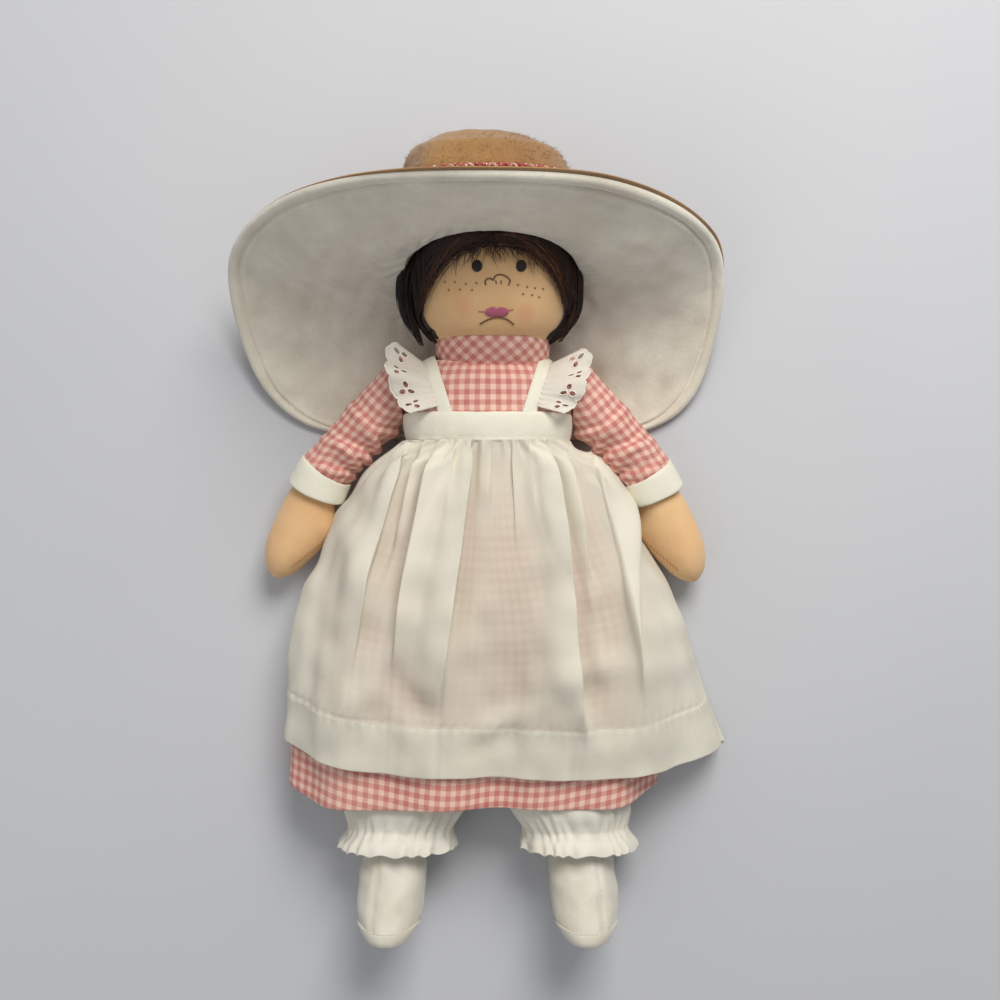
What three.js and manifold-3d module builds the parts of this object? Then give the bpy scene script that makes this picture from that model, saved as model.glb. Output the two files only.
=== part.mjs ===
// Rag doll in a gingham dress, eyelet apron, bloomers and a wide-brimmed felt hat, lying on its back.
// Millimetres. +Z is up off the surface, +Y runs to the head and +X to the doll's left hand.
// The origin is on the flat back of the skirt, straight under the hip seam.
import * as THREE from "three";
import { mergeVertices } from "three/addons/utils/BufferGeometryUtils.js";
import Module from "manifold-3d";

// Cloth thickness and clearance
const COTTON = 1.0; // dress, apron and bloomers
const FELT = 1.2; // outside of the hat
const LINING = 0.8; // flannel under the brim
const GAP = 0.35; // air between two layers that touch
const TURN_ROOM = 1.1; // air round a joint that turns

// Stuffed body
const HIP_Z = 21; // height of the flat hip seam, on which the legs fold
const CHEST_HALF = 39.5; // half width of the bodice at the chest
const HIP_HALF = CHEST_HALF - 1.5; // half width of the body at the hips
const WAIST_Y = 88; // seam of bodice and skirt
const WAIST_HALF = CHEST_HALF - 1.2; // half width of the bodice at the waist
const BODY_BACK = 4.8; // back of the bodice above the surface
const BODY_FRONT = 57; // front of the bodice above the surface
const SHOULDER = [CHEST_HALF + 0.5, 119, 30]; // centre of the sleeve head
const NECK = [2, 127, 28]; // centre of the neck joint
const NECK_HALF = [26.2, 20]; // half width and half depth of the collar where it turns
const COLLAR_RISE = 11; // top of the collar above the neck joint

// Head
const HEAD = [3, 180, 41]; // middle of the head
const HEAD_HALF = [37, 44, 31]; // half width, height and depth
const HAIR = 3; // thickness of the wig on the head
const LOCK_HALF = [7, 9]; // side lock, across and front to back

// Hat
const CROWN_ROOM = 1.2; // air between wig and crown
const CROWN_TOP = 236.5;
const OPENING_Y = 167; // height of the head opening at the sides
const OPENING_TILT = 17; // how much the front of the opening is higher than the sides
const BAND_Y = 211; // middle of the braid
const BAND_WIDTH = 5;

// Arms
const SLEEVE_HEAD = 12; // radius of the gathered sleeve head
const SLEEVE = 13; // radius of the sleeve
const ARM = 10.2; // radius of the stuffed arm
const HAND = 14.2; // half width of the mitten hand
const CUFF_START = 57; // along the arm from the shoulder
const CUFF_LENGTH = 15;
const CUFF_FLARE = 1.3;

// Legs
const LEG = 17; // radius of the stuffed leg
const LEG_BACK = 3.8; // underside of the leg above the surface
const ANKLE_X = 45.5; // distance of the ankles from the middle
const SOLE_Y = -144; // plane of the sole
const TOE_Z = 54; // top of the toe
const SOLE_THICK = 3.2;

// Skirts and bloomers
const HEM_HALF = 91; // half width of the spread dress hem
const HEM_Y = -76; // dress hem at the sides
const HEM_FRONT = 49; // height of the dress hem over the legs
const FOLD = 3; // depth of the skirt's main folds
const VALLEY = 11; // how far the skirt sinks between the legs
const WAISTBAND = [89, 102.5]; // lower and upper edge
const APRON_ROOM = 1.4; // air between dress and apron
const FLARE = 34; // spread of the apron's corner on the doll's left
const BLOOMER_SPREAD = 5; // how much wider than thick the bloomer legs lie
const STRAP_WIDTH = 6.5;
const LACE = 23; // width of the eyelet ruffle
const ELASTIC_Y = -100; // gather of the bloomer legs
const ELASTIC = 6; // width of the elastic
const FRILL = 10; // length of the frill below the elastic

const wasm = await Module();
wasm.setup();

const lerp = THREE.MathUtils.lerp;
const clamp01 = (t) => Math.min(1, Math.max(0, t));
const ease = (t) => clamp01(t) ** 2 * (3 - 2 * clamp01(t));
const power = (v, p) => Math.sign(v) * Math.abs(v) ** p;
const point = (x, y, z) => new THREE.Vector3(x, y, z);
const range = (n) => Array.from({ length: n }, (_, i) => i);
const degrees = THREE.MathUtils.degToRad;

// Rows of [station, values...] made into a smooth function of the station.
function profile(rows) {
  const sorted = [...rows].sort((a, b) => a[0] - b[0]);
  const size = sorted[0].length - 1;
  const curve = new THREE.CubicInterpolant(
    sorted.map((row) => row[0]),
    sorted.flatMap((row) => row.slice(1)),
    size,
  );
  return (s) => Array.from(curve.evaluate(s));
}

// A closed mesh from points and triangles, turned to face out.
function closed(points, faces) {
  let volume = 0;
  for (let f = 0; f < faces.length; f += 3) {
    const [a, b, c] = [points[faces[f]], points[faces[f + 1]], points[faces[f + 2]]];
    volume += a.dot(b.clone().cross(c));
  }
  const geometry = new THREE.BufferGeometry();
  const flat = points.flatMap((p) => [p.x, p.y, p.z]);
  geometry.setAttribute("position", new THREE.Float32BufferAttribute(flat, 3));
  geometry.setIndex(volume > 0 ? faces : [...faces].reverse());
  return geometry;
}

// A solid through rings of points, with a fan to a tip at each end.
function loft(rings, startTip, endTip) {
  const count = rings[0].length;
  const middle = (ring) => ring.reduce((sum, p) => sum.add(p), point(0, 0, 0)).divideScalar(count);
  const points = rings.flat();
  const first = points.push(startTip ?? middle(rings[0])) - 1;
  const last = points.push(endTip ?? middle(rings.at(-1))) - 1;
  const base = (rings.length - 1) * count;
  const faces = [];
  for (let i = 0; i < count; i++) {
    const j = (i + 1) % count;
    for (let r = 0; r + 1 < rings.length; r++) {
      const [a, b] = [r * count + i, r * count + j];
      faces.push(a, b, b + count, a, b + count, a + count);
    }
    faces.push(first, j, i, last, base + i, base + j);
  }
  return closed(points, faces);
}

// A cloth between two grids of points, closed along its edges; a grid may run round and meet itself.
function sheet(front, back, round) {
  const [rows, columns] = [front.length, front[0].length];
  const f = (r, c) => r * columns + (c % columns);
  const b = (r, c) => rows * columns + f(r, c);
  const faces = [];
  const quad = (p, q, r, s) => faces.push(p, q, r, p, r, s);
  for (let c = 0; c < (round ? columns : columns - 1); c++) {
    for (let r = 0; r + 1 < rows; r++) {
      quad(f(r, c), f(r, c + 1), f(r + 1, c + 1), f(r + 1, c));
      quad(b(r, c), b(r + 1, c), b(r + 1, c + 1), b(r, c + 1));
    }
    quad(f(0, c + 1), f(0, c), b(0, c), b(0, c + 1));
    quad(f(rows - 1, c), f(rows - 1, c + 1), b(rows - 1, c + 1), b(rows - 1, c));
  }
  for (let r = 0; r + 1 < rows && !round; r++) {
    quad(f(r, 0), f(r + 1, 0), b(r + 1, 0), b(r, 0));
    quad(f(r + 1, columns - 1), f(r, columns - 1), b(r, columns - 1), b(r + 1, columns - 1));
  }
  return closed([...front.flat(), ...back.flat()], faces);
}

function toManifold(geometry) {
  const bare = new THREE.BufferGeometry();
  bare.setAttribute("position", geometry.getAttribute("position").clone());
  if (geometry.index) bare.setIndex(geometry.index.clone());
  const merged = mergeVertices(bare, 1e-4);
  const mesh = new wasm.Mesh({
    numProp: 3,
    vertProperties: Float32Array.from(merged.getAttribute("position").array),
    triVerts: Uint32Array.from(merged.index.array),
  });
  return new wasm.Manifold(mesh);
}

function fromManifold(solid) {
  const mesh = solid.getMesh();
  const geometry = new THREE.BufferGeometry();
  geometry.setAttribute("position", new THREE.BufferAttribute(Float32Array.from(mesh.vertProperties), 3));
  geometry.setIndex(Array.from(mesh.triVerts));
  return geometry;
}

const cut = (whole, ...tools) =>
  fromManifold(tools.reduce((solid, tool) => solid.subtract(toManifold(tool)), toManifold(whole)));
const join = (whole, ...more) =>
  fromManifold(more.reduce((solid, part) => solid.add(toManifold(part)), toManifold(whole)));
const meet = (a, b) => fromManifold(toManifold(a).intersect(toManifold(b)));

// A point on an oval section square to Y. The oval swells by out, and lies flat at its level.
const FULLNESS = 0.9;
function onOval(s, a, y, out) {
  const swell = out + (s.fold ? s.fold(a) : 0);
  const x = s.x + (s.half + swell) * power(Math.cos(a), s.full ?? FULLNESS);
  const z = s.mid + (s.deep + swell) * power(Math.sin(a), s.full ?? FULLNESS);
  return point(x, y, Math.max(z, s.level - out));
}
const around = (count) => range(count).map((i) => (2 * Math.PI * i) / count);
const ovalRing = (s, y, out, count) => around(count).map((a) => onOval(s, a, y, out));

// A tube of cloth through the sections of a body.
function tube(section, stations, outside, inside, count) {
  const rings = (out) => stations.map((y) => ovalRing(section(y), y, out, count));
  return sheet(rings(outside), rings(inside), true);
}

const ball = ([x, y, z], [a, b, c], round = 24) =>
  new THREE.SphereGeometry(1, round, round / 2).scale(a, b, c).translate(x, y, z);

// Bodice, the outside of the dressed body from waist to neck
const TOP = SHOULDER[1];
const bodice = profile([
  [WAIST_Y, WAIST_HALF, 0, BODY_FRONT - 1],
  [WAIST_Y + 12, CHEST_HALF, 0, BODY_FRONT],
  [TOP - 7, CHEST_HALF, 0, BODY_FRONT - 1],
  [TOP + 1, CHEST_HALF - 1.5, 1.6, BODY_FRONT - 3],
  [TOP + 7, CHEST_HALF - 6, 6, BODY_FRONT - 7],
  [TOP + 11, CHEST_HALF - 12, 11, BODY_FRONT - 11],
  [TOP + 12.5, CHEST_HALF - 15.5, 14, BODY_FRONT - 14],
]);
const bodiceStations = [0, 0.276, 0.552, 0.736, 0.874, 0.954, 1].map((t) => lerp(WAIST_Y, TOP + 12.5, t));
const bodySection = (y) => {
  const [half, lift, front] = bodice(y);
  const back = BODY_BACK + Math.max(0, lift);
  return { x: 0, half, mid: (back + front) / 2, deep: (front - back) / 2, level: back + 0.6 };
};

// Stuffed trunk: a pillow that thins to the flat hip seam
const under = COTTON + GAP;
const trunk = profile([
  [1.5, HIP_HALF - 2, HIP_Z - 1.4, HIP_Z + 1.4],
  [10, HIP_HALF, HIP_Z - 8.8, HIP_Z + 9.2],
  [20, HIP_HALF, HIP_Z - 15.6, HIP_Z + 18.6],
  [32, HIP_HALF, HIP_Z - 16.2, HIP_Z + 28],
  [46, WAIST_HALF - under, BODY_BACK + 1, BODY_FRONT - 4],
  [70, WAIST_HALF - under, BODY_BACK + under, BODY_FRONT - 2.4],
]);
const trunkSection = (y) => {
  if (y >= WAIST_Y) {
    const s = bodySection(y);
    return { ...s, half: s.half - under, deep: s.deep - under, level: s.level + under };
  }
  const [half, back, front] = trunk(y);
  return { x: 0, half, mid: (back + front) / 2, deep: (front - back) / 2, level: back };
};
const trunkStations = [1.5, 10, 20, 32, 46, 68, ...bodiceStations.slice(0, -1)];

// Skirt: an oval that spreads from the waist and lies flat on its back
const spread = profile([
  [HEM_Y - 14, -8, HEM_HALF - 1, 9, HEM_FRONT - 9],
  [-40, -4.5, HEM_HALF, 10, HEM_FRONT - 6],
  [0, -2.5, lerp(WAIST_HALF, HEM_HALF, 0.97), 12, HEM_FRONT - 4],
  [15, -2.5, lerp(WAIST_HALF, HEM_HALF, 0.9), 13, HEM_FRONT - 4],
  [32, -2.5, lerp(WAIST_HALF, HEM_HALF, 0.75), 15, BODY_FRONT - 13],
  [45, -2.5, lerp(WAIST_HALF, HEM_HALF, 0.65), 17, BODY_FRONT - 15],
  [60, -1.5, lerp(WAIST_HALF, HEM_HALF, 0.51), 20, BODY_FRONT - 18.5],
  [75, -1, lerp(WAIST_HALF, HEM_HALF, 0.33), 25, BODY_FRONT - 25],
  [WAIST_Y, 0, WAIST_HALF, (BODY_BACK + BODY_FRONT - 1) / 2, (BODY_FRONT - 1 - BODY_BACK) / 2],
]);
const FOLD_AT = degrees(67); // a main fold runs down the front here
const skirtSection = (y) => {
  const [x, half, mid, deep] = spread(y);
  const depth = FOLD * ease((WAIST_Y - y) / (WAIST_Y - HEM_Y));
  const fold = (a) => 0.7 * depth * (1 - Math.cos(9 * (a - FOLD_AT))) * ease((Math.sin(a) + 0.35) * 1.5);
  const full = lerp(FULLNESS, 0.68, ease((WAIST_Y - y) / 110));
  return { x, half, mid, deep, full, level: BODY_BACK * ease((y - 50) / (WAIST_Y - 50)), fold };
};
// Angles drawn together where a square oval turns, so that points on it lie evenly.
function evenly(t) {
  const quarter = Math.PI / 2;
  const part = Math.floor(t / quarter);
  const from = (t / quarter - part) ** 1.4;
  const to = (1 - t / quarter + part) ** 1.4;
  return quarter * (part + from / (from + to));
}
// A point of either skirt, sunk between the legs.
function onSkirt(a, y, out) {
  const p = onOval(skirtSection(Math.min(y, WAIST_Y)), a, y, out);
  const sink = VALLEY * ease((25 - y) / 90) * ease((Math.sin(a) - 0.3) * 2);
  p.z -= sink * Math.exp(-(((p.x - 4) / 17) ** 2));
  return p;
}
const dressHem = (a) => HEM_Y - 11 * ease(Math.sin(a) * 1.2);
function skirtPoint(a, u, out) {
  const y = lerp(WAIST_Y - GAP, dressHem(a), u);
  return onSkirt(a, y, out);
}
const SKIRT_COLUMNS = 44;
const columnAngle = (i) => evenly((2 * Math.PI * i) / SKIRT_COLUMNS);
const skirtRows = [0, 0.08, 0.2, 0.35, 0.52, 0.7, 0.86, 1];
const skirtGrid = (out) => skirtRows.map((u) => range(SKIRT_COLUMNS).map((i) => skirtPoint(columnAngle(i), u, out)));

// Apron: a gathered panel over the front of the skirt, open behind
const APRON_COLUMNS = [-2, 23]; // first and last of the skirt's columns that it covers
const apronHem = (a) => HEM_Y + 19 - 5 * Math.cos(a) - 14 * clamp01(Math.sin(a));
// Main folds: X at the waistband and at the hem, height, half width at the hem, where each has faded out
const APRON_FOLDS = [
  [-12, -34, 6, 11, 0.9], [20, 40, 5, 11, 1], [-18, -46, 4, 10, 0.8], [52, 92, 3, 15, 0.95], [-39, -82, 4, 11, 0.85],
];
// Soft bulges over the legs: X, Y, half length, half width, height
const APRON_PUFFS = [[-17, -8, 24, 10, 3.5], [51, -18, 12, 16, 3.5], [-49, 13, 20, 13, 3], [-60, -28, 18, 16, 3]];
function apronFold(x, y, u) {
  let lift = 0;
  for (const [top, foot, height, width, last] of APRON_FOLDS) {
    const wide = width * (0.35 + 0.65 * u);
    const strength = height * ease(u / 0.1) * (1 - ease((u - last + 0.35) / 0.35));
    lift += strength * Math.exp(-(((x - lerp(top, foot, u ** 0.8)) / wide) ** 2));
  }
  for (const [px, py, long, wide, height] of APRON_PUFFS) {
    lift += height * Math.exp(-(((x - px) / wide) ** 2) - ((y - py) / long) ** 2);
  }
  return lift;
}
function apronPoint(a, u, out) {
  const side = clamp01((a + 0.14) / 3.35);
  const y = lerp(WAISTBAND[0] - GAP, apronHem(a), u);
  const flat = onSkirt(a, y, APRON_ROOM + out);
  const p = onSkirt(a, y, APRON_ROOM + out + apronFold(flat.x, y, u) * ease(Math.sin(a) * 3));
  p.z = Math.max(p.z, GAP);
  p.x += FLARE * u ** 2.4 * (1 - side) ** 5;
  return p;
}
const [apronFirst, apronLast] = APRON_COLUMNS;
const apronAngles = range(apronLast - apronFirst + 1).map((i) => columnAngle(apronFirst + i));
const apronGrid = (out) => skirtRows.map((u) => apronAngles.map((a) => apronPoint(a, u, out)));

// Waistband, straps and eyelet ruffles
const frontOf = (x, y, out) => {
  const s = bodySection(y);
  const c = clamp01(Math.abs(x) / (s.half + out)) ** (1 / FULLNESS);
  return s.mid + (s.deep + out) * Math.sqrt(1 - c * c) ** FULLNESS;
};
const neckBall = (grow) => ball(NECK, [NECK_HALF[0] + grow, NECK_HALF[1] + grow, NECK_HALF[1] + grow], 20);
const STRAP_FOOT = 19.5; // middle of the strap at the waistband
const STRAP_HEAD = 29.5; // and on the shoulder
function strap(side) {
  const stations = [WAISTBAND[1] + GAP, ...bodiceStations.filter((y) => y > WAISTBAND[1] + 1)];
  const cover = tube(bodySection, stations, GAP + COTTON, GAP, 26);
  const half = STRAP_WIDTH / 2;
  const [foot, head] = [STRAP_FOOT * side, STRAP_HEAD * side];
  const outline = new THREE.Shape([
    new THREE.Vector2(foot - half, WAISTBAND[1] - 1),
    new THREE.Vector2(foot + half, WAISTBAND[1] - 1),
    new THREE.Vector2(head + half, TOP + 16),
    new THREE.Vector2(head - half, TOP + 16),
  ]);
  const band = new THREE.ExtrudeGeometry(outline, { depth: 90, bevelEnabled: false }).translate(0, 0, -5);
  return cut(meet(cover, band), neckBall(TURN_ROOM), armhole(side, TURN_ROOM));
}
function ruffle(side) {
  const grid = (out) =>
    range(4).map((r) =>
      range(13).map((c) => {
        const [v, u] = [r / 3, c / 12];
        const y = lerp(WAISTBAND[1] + 3, TOP + 5, u);
        const along = (y - WAISTBAND[1]) / (TOP + 16 - WAISTBAND[1]);
        const root = lerp(STRAP_FOOT, STRAP_HEAD, along) + STRAP_WIDTH / 2 + GAP;
        const scallop = 1 - 0.1 * Math.cos(8 * Math.PI * u);
        const reach = LACE * v * scallop * (0.45 + 0.55 * Math.sin(Math.PI * (0.08 + 0.6 * u)));
        const fan = degrees(lerp(-12, 36, u));
        const wave = 1.6 * v * Math.cos(6 * Math.PI * u);
        const z = frontOf(root, y, GAP) + 0.15 + wave + 0.25 * reach;
        return point(side * (root + reach * Math.cos(fan)), y + reach * Math.sin(fan), z + out);
      }),
    );
  return sheet(grid(0.8), grid(0), false);
}

// Arm: sections along a bent path from the shoulder to the mitten tip
const ARM_PATH = [
  [0, 0, 0], [20, -23, -4], [40, -44, -8], [46.5, -57, -11.5],
  [53, -72, -15], [59, -84, -15.4], [63, -92, -15.4],
];
const ARM_SPREAD = { 1: 0.94, "-1": 1 }; // the left arm lies closer
function limb(side) {
  const path = new THREE.CatmullRomCurve3(
    ARM_PATH.map(([x, y, z]) => {
      const out = SHOULDER[0] + ARM_SPREAD[side] * x;
      return point(side * out, SHOULDER[1] + y, SHOULDER[2] + z);
    }),
  );
  const length = path.getLength();
  const ring = (s, radius, count = 14, push = 0) => {
    const t = clamp01(s / length);
    const along = path.getTangentAt(t);
    const across = along.clone().cross(point(0, 0, 1)).normalize();
    const up = across.clone().cross(along);
    const centre = path.getPointAt(t).addScaledVector(along, push);
    const spoke = (a) => across.clone().multiplyScalar(Math.cos(a)).addScaledVector(up, Math.sin(a));
    return around(count).map((a) => centre.clone().addScaledVector(spoke(a), radius));
  };
  return { path, length, ring };
}
const sleeveRadius = profile([
  [0, SLEEVE - 3.4], [8, SLEEVE - 3], [12, SLEEVE - 1.5], [17, SLEEVE],
  [36, SLEEVE + 0.4], [50, SLEEVE - 0.2],
  [CUFF_START, SLEEVE - 0.5], [90, SLEEVE - 0.5],
]);
const armRadius = profile([
  [0, ARM - 4], [8, ARM - 3.6], [14, ARM - 1], [20, ARM],
  [CUFF_START, ARM], [CUFF_START + CUFF_LENGTH, ARM + 0.6],
  [88, HAND], [98, HAND - 0.6], [107, HAND - 3], [113, HAND - 6],
]);
const SLEEVE_WALL = 1.7; // sleeve cloth and air where the arm is pressed against the body
// What of an arm lies clear of the body's side
function besideBody(solid, side, room) {
  const edge = CHEST_HALF + COTTON + 3 * GAP + room;
  const block = new THREE.BoxGeometry(200, 400, 200).translate(side * (edge - 100), SHOULDER[1], SHOULDER[2]);
  return cut(solid, block);
}
function armSolid(side, grow) {
  const { length, ring, path } = limb(side);
  const stops = [0, 8, 14, 20, 38, 58, 70, 79, 88, 97, 105, length];
  const rings = stops.map((s) => ring(s, armRadius(s)[0] + grow));
  const tip = armRadius(length)[0];
  for (const a of [30, 60]) {
    rings.push(ring(length, tip * Math.cos(degrees(a)) + grow, 14, 0.6 * tip * Math.sin(degrees(a))));
  }
  const end = path.getPointAt(1).addScaledVector(path.getTangentAt(1), 0.6 * tip + grow);
  const start = [side * SHOULDER[0], SHOULDER[1], SHOULDER[2]];
  const tube = besideBody(loft(rings, undefined, end), side, SLEEVE_WALL - grow);
  return join(tube, ball(start, [ARM + grow, ARM + grow, ARM + grow], 14));
}
function sleeve(side) {
  const { ring } = limb(side);
  const stops = [0, 8, 12, 17, 36, CUFF_START, CUFF_START + CUFF_LENGTH / 2, CUFF_START + CUFF_LENGTH - 3];
  const tubeRings = stops.map((s) => ring(s, sleeveRadius(s)[0], 18));
  return cut(join(besideBody(loft(tubeRings), side, 0), armhole(side, 0)), armSolid(side, GAP));
}
function cuff(side) {
  const { ring } = limb(side);
  const rows = (radius) =>
    [0, 0.5, 1].map((t) => {
      const s = CUFF_START + CUFF_LENGTH * t;
      return ring(s, sleeveRadius(s)[0] + radius(t), 18);
    });
  return sheet(rows((t) => GAP + COTTON + CUFF_FLARE * t), rows(() => GAP), true);
}
const armhole = (side, grow) => {
  const r = SLEEVE_HEAD + grow;
  return ball([side * SHOULDER[0], SHOULDER[1], SHOULDER[2]], [r, r, r], 16);
};

// Leg: sections square to Y, thin at the hip seam, with the foot turned up
const legRows = profile([
  [-1.5, 20, LEG - 2, HIP_Z - 1.4, HIP_Z + 1.4],
  [-10, 22, LEG, HIP_Z - 8.4, HIP_Z + 8.4],
  [-20, 24.5, LEG, LEG_BACK + 0.2, HIP_Z + LEG - 0.6],
  [-40, lerp(20, ANKLE_X, 0.36), LEG, LEG_BACK, LEG_BACK + 2 * LEG],
  [-75, lerp(20, ANKLE_X, 0.68), LEG, LEG_BACK, LEG_BACK + 2 * LEG - 0.5],
  [-100, lerp(20, ANKLE_X, 0.9), LEG - 0.8, LEG_BACK, LEG_BACK + 2 * LEG - 2],
  [-112, ANKLE_X, LEG - 1, 2.6, LEG_BACK + 2 * LEG - 1],
  [-124, ANKLE_X + 1.2, LEG - 0.4, 1.4, TOE_Z - 11],
  [-135, ANKLE_X + 2, LEG - 0.2, 1, TOE_Z - 3.5],
  [SOLE_Y, ANKLE_X + 2.5, LEG - 1.4, 2, TOE_Z],
]);
const legSection = (side) => (y) => {
  const [x, half, back, front] = legRows(y);
  return { x: side * x, half, mid: (back + front) / 2, deep: (front - back) / 2, level: back + 0.3 };
};
const soleLean = (y, p, mid) => point(p.x, p.y - 0.2 * ease((-112 - y) / 30) * (p.z - mid), p.z);
function leg(side) {
  const stations = [-1.5, -10, -20, -40, -75, -100, -112, -120, -128, -136, SOLE_Y];
  const section = legSection(side);
  const ring = (y) => ovalRing(section(y), y, 0, 24).map((p) => soleLean(y, p, section(y).mid));
  return loft(stations.map(ring));
}
function sole(side) {
  const s = legSection(side)(SOLE_Y);
  const rings = [[1, 0], [0.95, 0.55], [0.62, 0.93]].map(([size, rise]) => {
    const y = SOLE_Y - GAP - rise * SOLE_THICK;
    const ring = ovalRing({ ...s, half: s.half * size, deep: s.deep * size }, y, 0, 24);
    return ring.map((p) => soleLean(SOLE_Y, p, s.mid));
  });
  return loft(rings, undefined, point(s.x, SOLE_Y - GAP - SOLE_THICK, s.mid));
}

// Bloomers: full legs gathered by elastic above a frill, and a seat that bridges the hips
const puff = profile([
  [-24, 3.2], [-40, 5.4], [-70, 6.8], [ELASTIC_Y + 14, 7], [ELASTIC_Y + 5, 4],
  [ELASTIC_Y, 2.9], [ELASTIC_Y - 4, 6], [ELASTIC_Y - FRILL, 11],
]);
const BLOOMER_BACK = COTTON + GAP;
function bloomerLeg(side) {
  const section = (y) => {
    const s = legSection(side)(Math.max(y, -108));
    const gather = 0.55 * ease(1 - Math.abs(y - ELASTIC_Y) / 16) + 1.1 * ease((ELASTIC_Y - y) / FRILL);
    const half = s.half + BLOOMER_SPREAD * ease((-24 - y) / 40);
    return { ...s, half, level: BLOOMER_BACK, fold: (a) => puff(y)[0] + gather * Math.cos(10 * a) };
  };
  const stations = [-24, -36, -60, ...[14, 6, 0, -4, -FRILL].map((s) => ELASTIC_Y + s)];
  const rings = (out) =>
    stations.map((y) => around(30).map((a) => {
      const p = onOval(section(y), a, y, out);
      return point(p.x, p.y, Math.max(p.z, BLOOMER_BACK - out));
    }));
  return sheet(rings(0), rings(-COTTON * 0.7), true);
}
function legElastic(side) {
  const section = (y) => ({ ...legSection(side)(y), level: LEG_BACK });
  const stations = [ELASTIC_Y - ELASTIC / 2, ELASTIC_Y + ELASTIC / 2];
  return tube(section, stations, GAP + 0.8, GAP, 24);
}
const SEAT_TOP = 60;
const seat = profile([
  [-23.5, HIP_HALF + 9.5, HIP_Z + LEG + 6], [-10, HIP_HALF + 8, HIP_Z + LEG + 5],
  [5, HIP_HALF + 6, HIP_Z + LEG + 5], [22, HIP_HALF + 5, HIP_Z + 27], [36, HIP_HALF + 4, BODY_FRONT - 1.5],
  [50, WAIST_HALF + 1.5, BODY_FRONT - 0.6], [SEAT_TOP, WAIST_HALF + 0.9, BODY_FRONT - 0.7],
]);
const seatSection = (y) => {
  const [half, front] = seat(y);
  const back = BLOOMER_BACK + 1.4 * ease((y - 20) / 40);
  const full = lerp(0.7, FULLNESS, ease(y / SEAT_TOP));
  return { x: 0, half, mid: (back + front) / 2, deep: (front - back) / 2, full, level: back };
};

// Head, wig and collar
function headShape(grow) {
  const rings = [-72, -52, -34, -14, 6, 26, 48, 70].map((latitude) => {
    const a = degrees(latitude);
    const full = latitude < 0 ? 2 / 3.1 : 2 / 2.4;
    const y = HEAD[1] + (HEAD_HALF[1] + grow) * power(Math.sin(a), full);
    const size = Math.cos(a) ** full;
    const [half, deep] = [(HEAD_HALF[0] + grow) * size, (HEAD_HALF[2] + grow) * size];
    return ovalRing({ x: HEAD[0], half, mid: HEAD[2], deep, level: 0 }, y, 0, 24);
  });
  const tip = (way) => point(HEAD[0], HEAD[1] + way * (HEAD_HALF[1] + grow), HEAD[2]);
  return loft(rings, tip(-1), tip(1));
}
function neck(grow) {
  const [half, deep] = NECK_HALF.map((size) => size - 7 + grow);
  const section = (y) => ({ x: NECK[0], half, mid: NECK[2] + (y - NECK[1]) * 0.2, deep, level: 0 });
  return loft([NECK[1], NECK[1] + 22].map((y) => ovalRing(section(y), y, 0, 20)));
}
function head() {
  const socket = ball(NECK, [NECK_HALF[0] - 3, NECK_HALF[1] - 3, NECK_HALF[1] - 3], 20);
  return join(headShape(0), neck(0), socket);
}
function collar() {
  const [half, deep] = NECK_HALF;
  const shrink = (y) => Math.sqrt(1 - ((y - NECK[1]) / deep) ** 2);
  const rings = (out) =>
    [-3, 1, 5, COLLAR_RISE].map((rise) => {
      const y = NECK[1] + rise;
      const [across, up] = [half * shrink(y) + out, deep * shrink(y) + out];
      return around(28).map((a) => point(NECK[0] + across * Math.cos(a), y, NECK[2] + up * Math.sin(a)));
    });
  return cut(sheet(rings(0), rings(-COTTON), true), headShape(GAP), neck(GAP));
}
const face = (grow) =>
  new THREE.CylinderGeometry(1, 1, 80, 28)
    .rotateX(Math.PI / 2)
    .scale(HEAD_HALF[0] - 2.5 + grow, 34 + grow, 1)
    .translate(HEAD[0], HEAD[1] - 28, HEAD[2] + 42);
function hairCap() {
  const nape = new THREE.BoxGeometry(200, 60, 200).translate(0, HEAD[1] - HEAD_HALF[1] + 6 - 30, 60);
  return cut(headShape(HAIR), headShape(GAP), neck(GAP), face(0), nape);
}
function hairLock(side) {
  const stops = [[38, 157, 42, 0.5], [38.5, 152, 42, 0.9], [37.5, 145, 41, 1], [36, 138, 39, 0.6]];
  const rings = stops.map(([x, y, z, size]) => {
    const [half, deep] = LOCK_HALF.map((reach) => reach * size);
    return ovalRing({ x: NECK[0] + side * x, half, mid: z, deep, level: 0 }, y, 0, 14);
  });
  return cut(loft(rings), headShape(HAIR + GAP));
}
function fringe() {
  const grid = (grow) =>
    range(4).map((r) =>
      range(21).map((c) => {
        const x = lerp(-22, 22, c / 20);
        const strand = 9 + 3 * Math.cos(c * 1.9) + 2 * Math.cos(c * 0.7);
        const y = lerp(HEAD[1] + 5, HEAD[1] - strand, r / 3);
        const n = y < HEAD[1] ? 3.1 : 2.4;
        const level = clamp01(Math.abs(y - HEAD[1]) / (HEAD_HALF[1] + grow));
        const size = (1 - level ** n) ** (1 / n);
        const c2 = clamp01(Math.abs(x) / ((HEAD_HALF[0] + grow) * size)) ** (1 / FULLNESS);
        const z = HEAD[2] + (HEAD_HALF[2] + grow) * size * Math.sqrt(1 - c2 * c2) ** FULLNESS;
        return point(HEAD[0] + x, y, z);
      }),
    );
  return meet(cut(sheet(grid(2.4), grid(-4), false), headShape(GAP)), face(-GAP));
}

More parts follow.
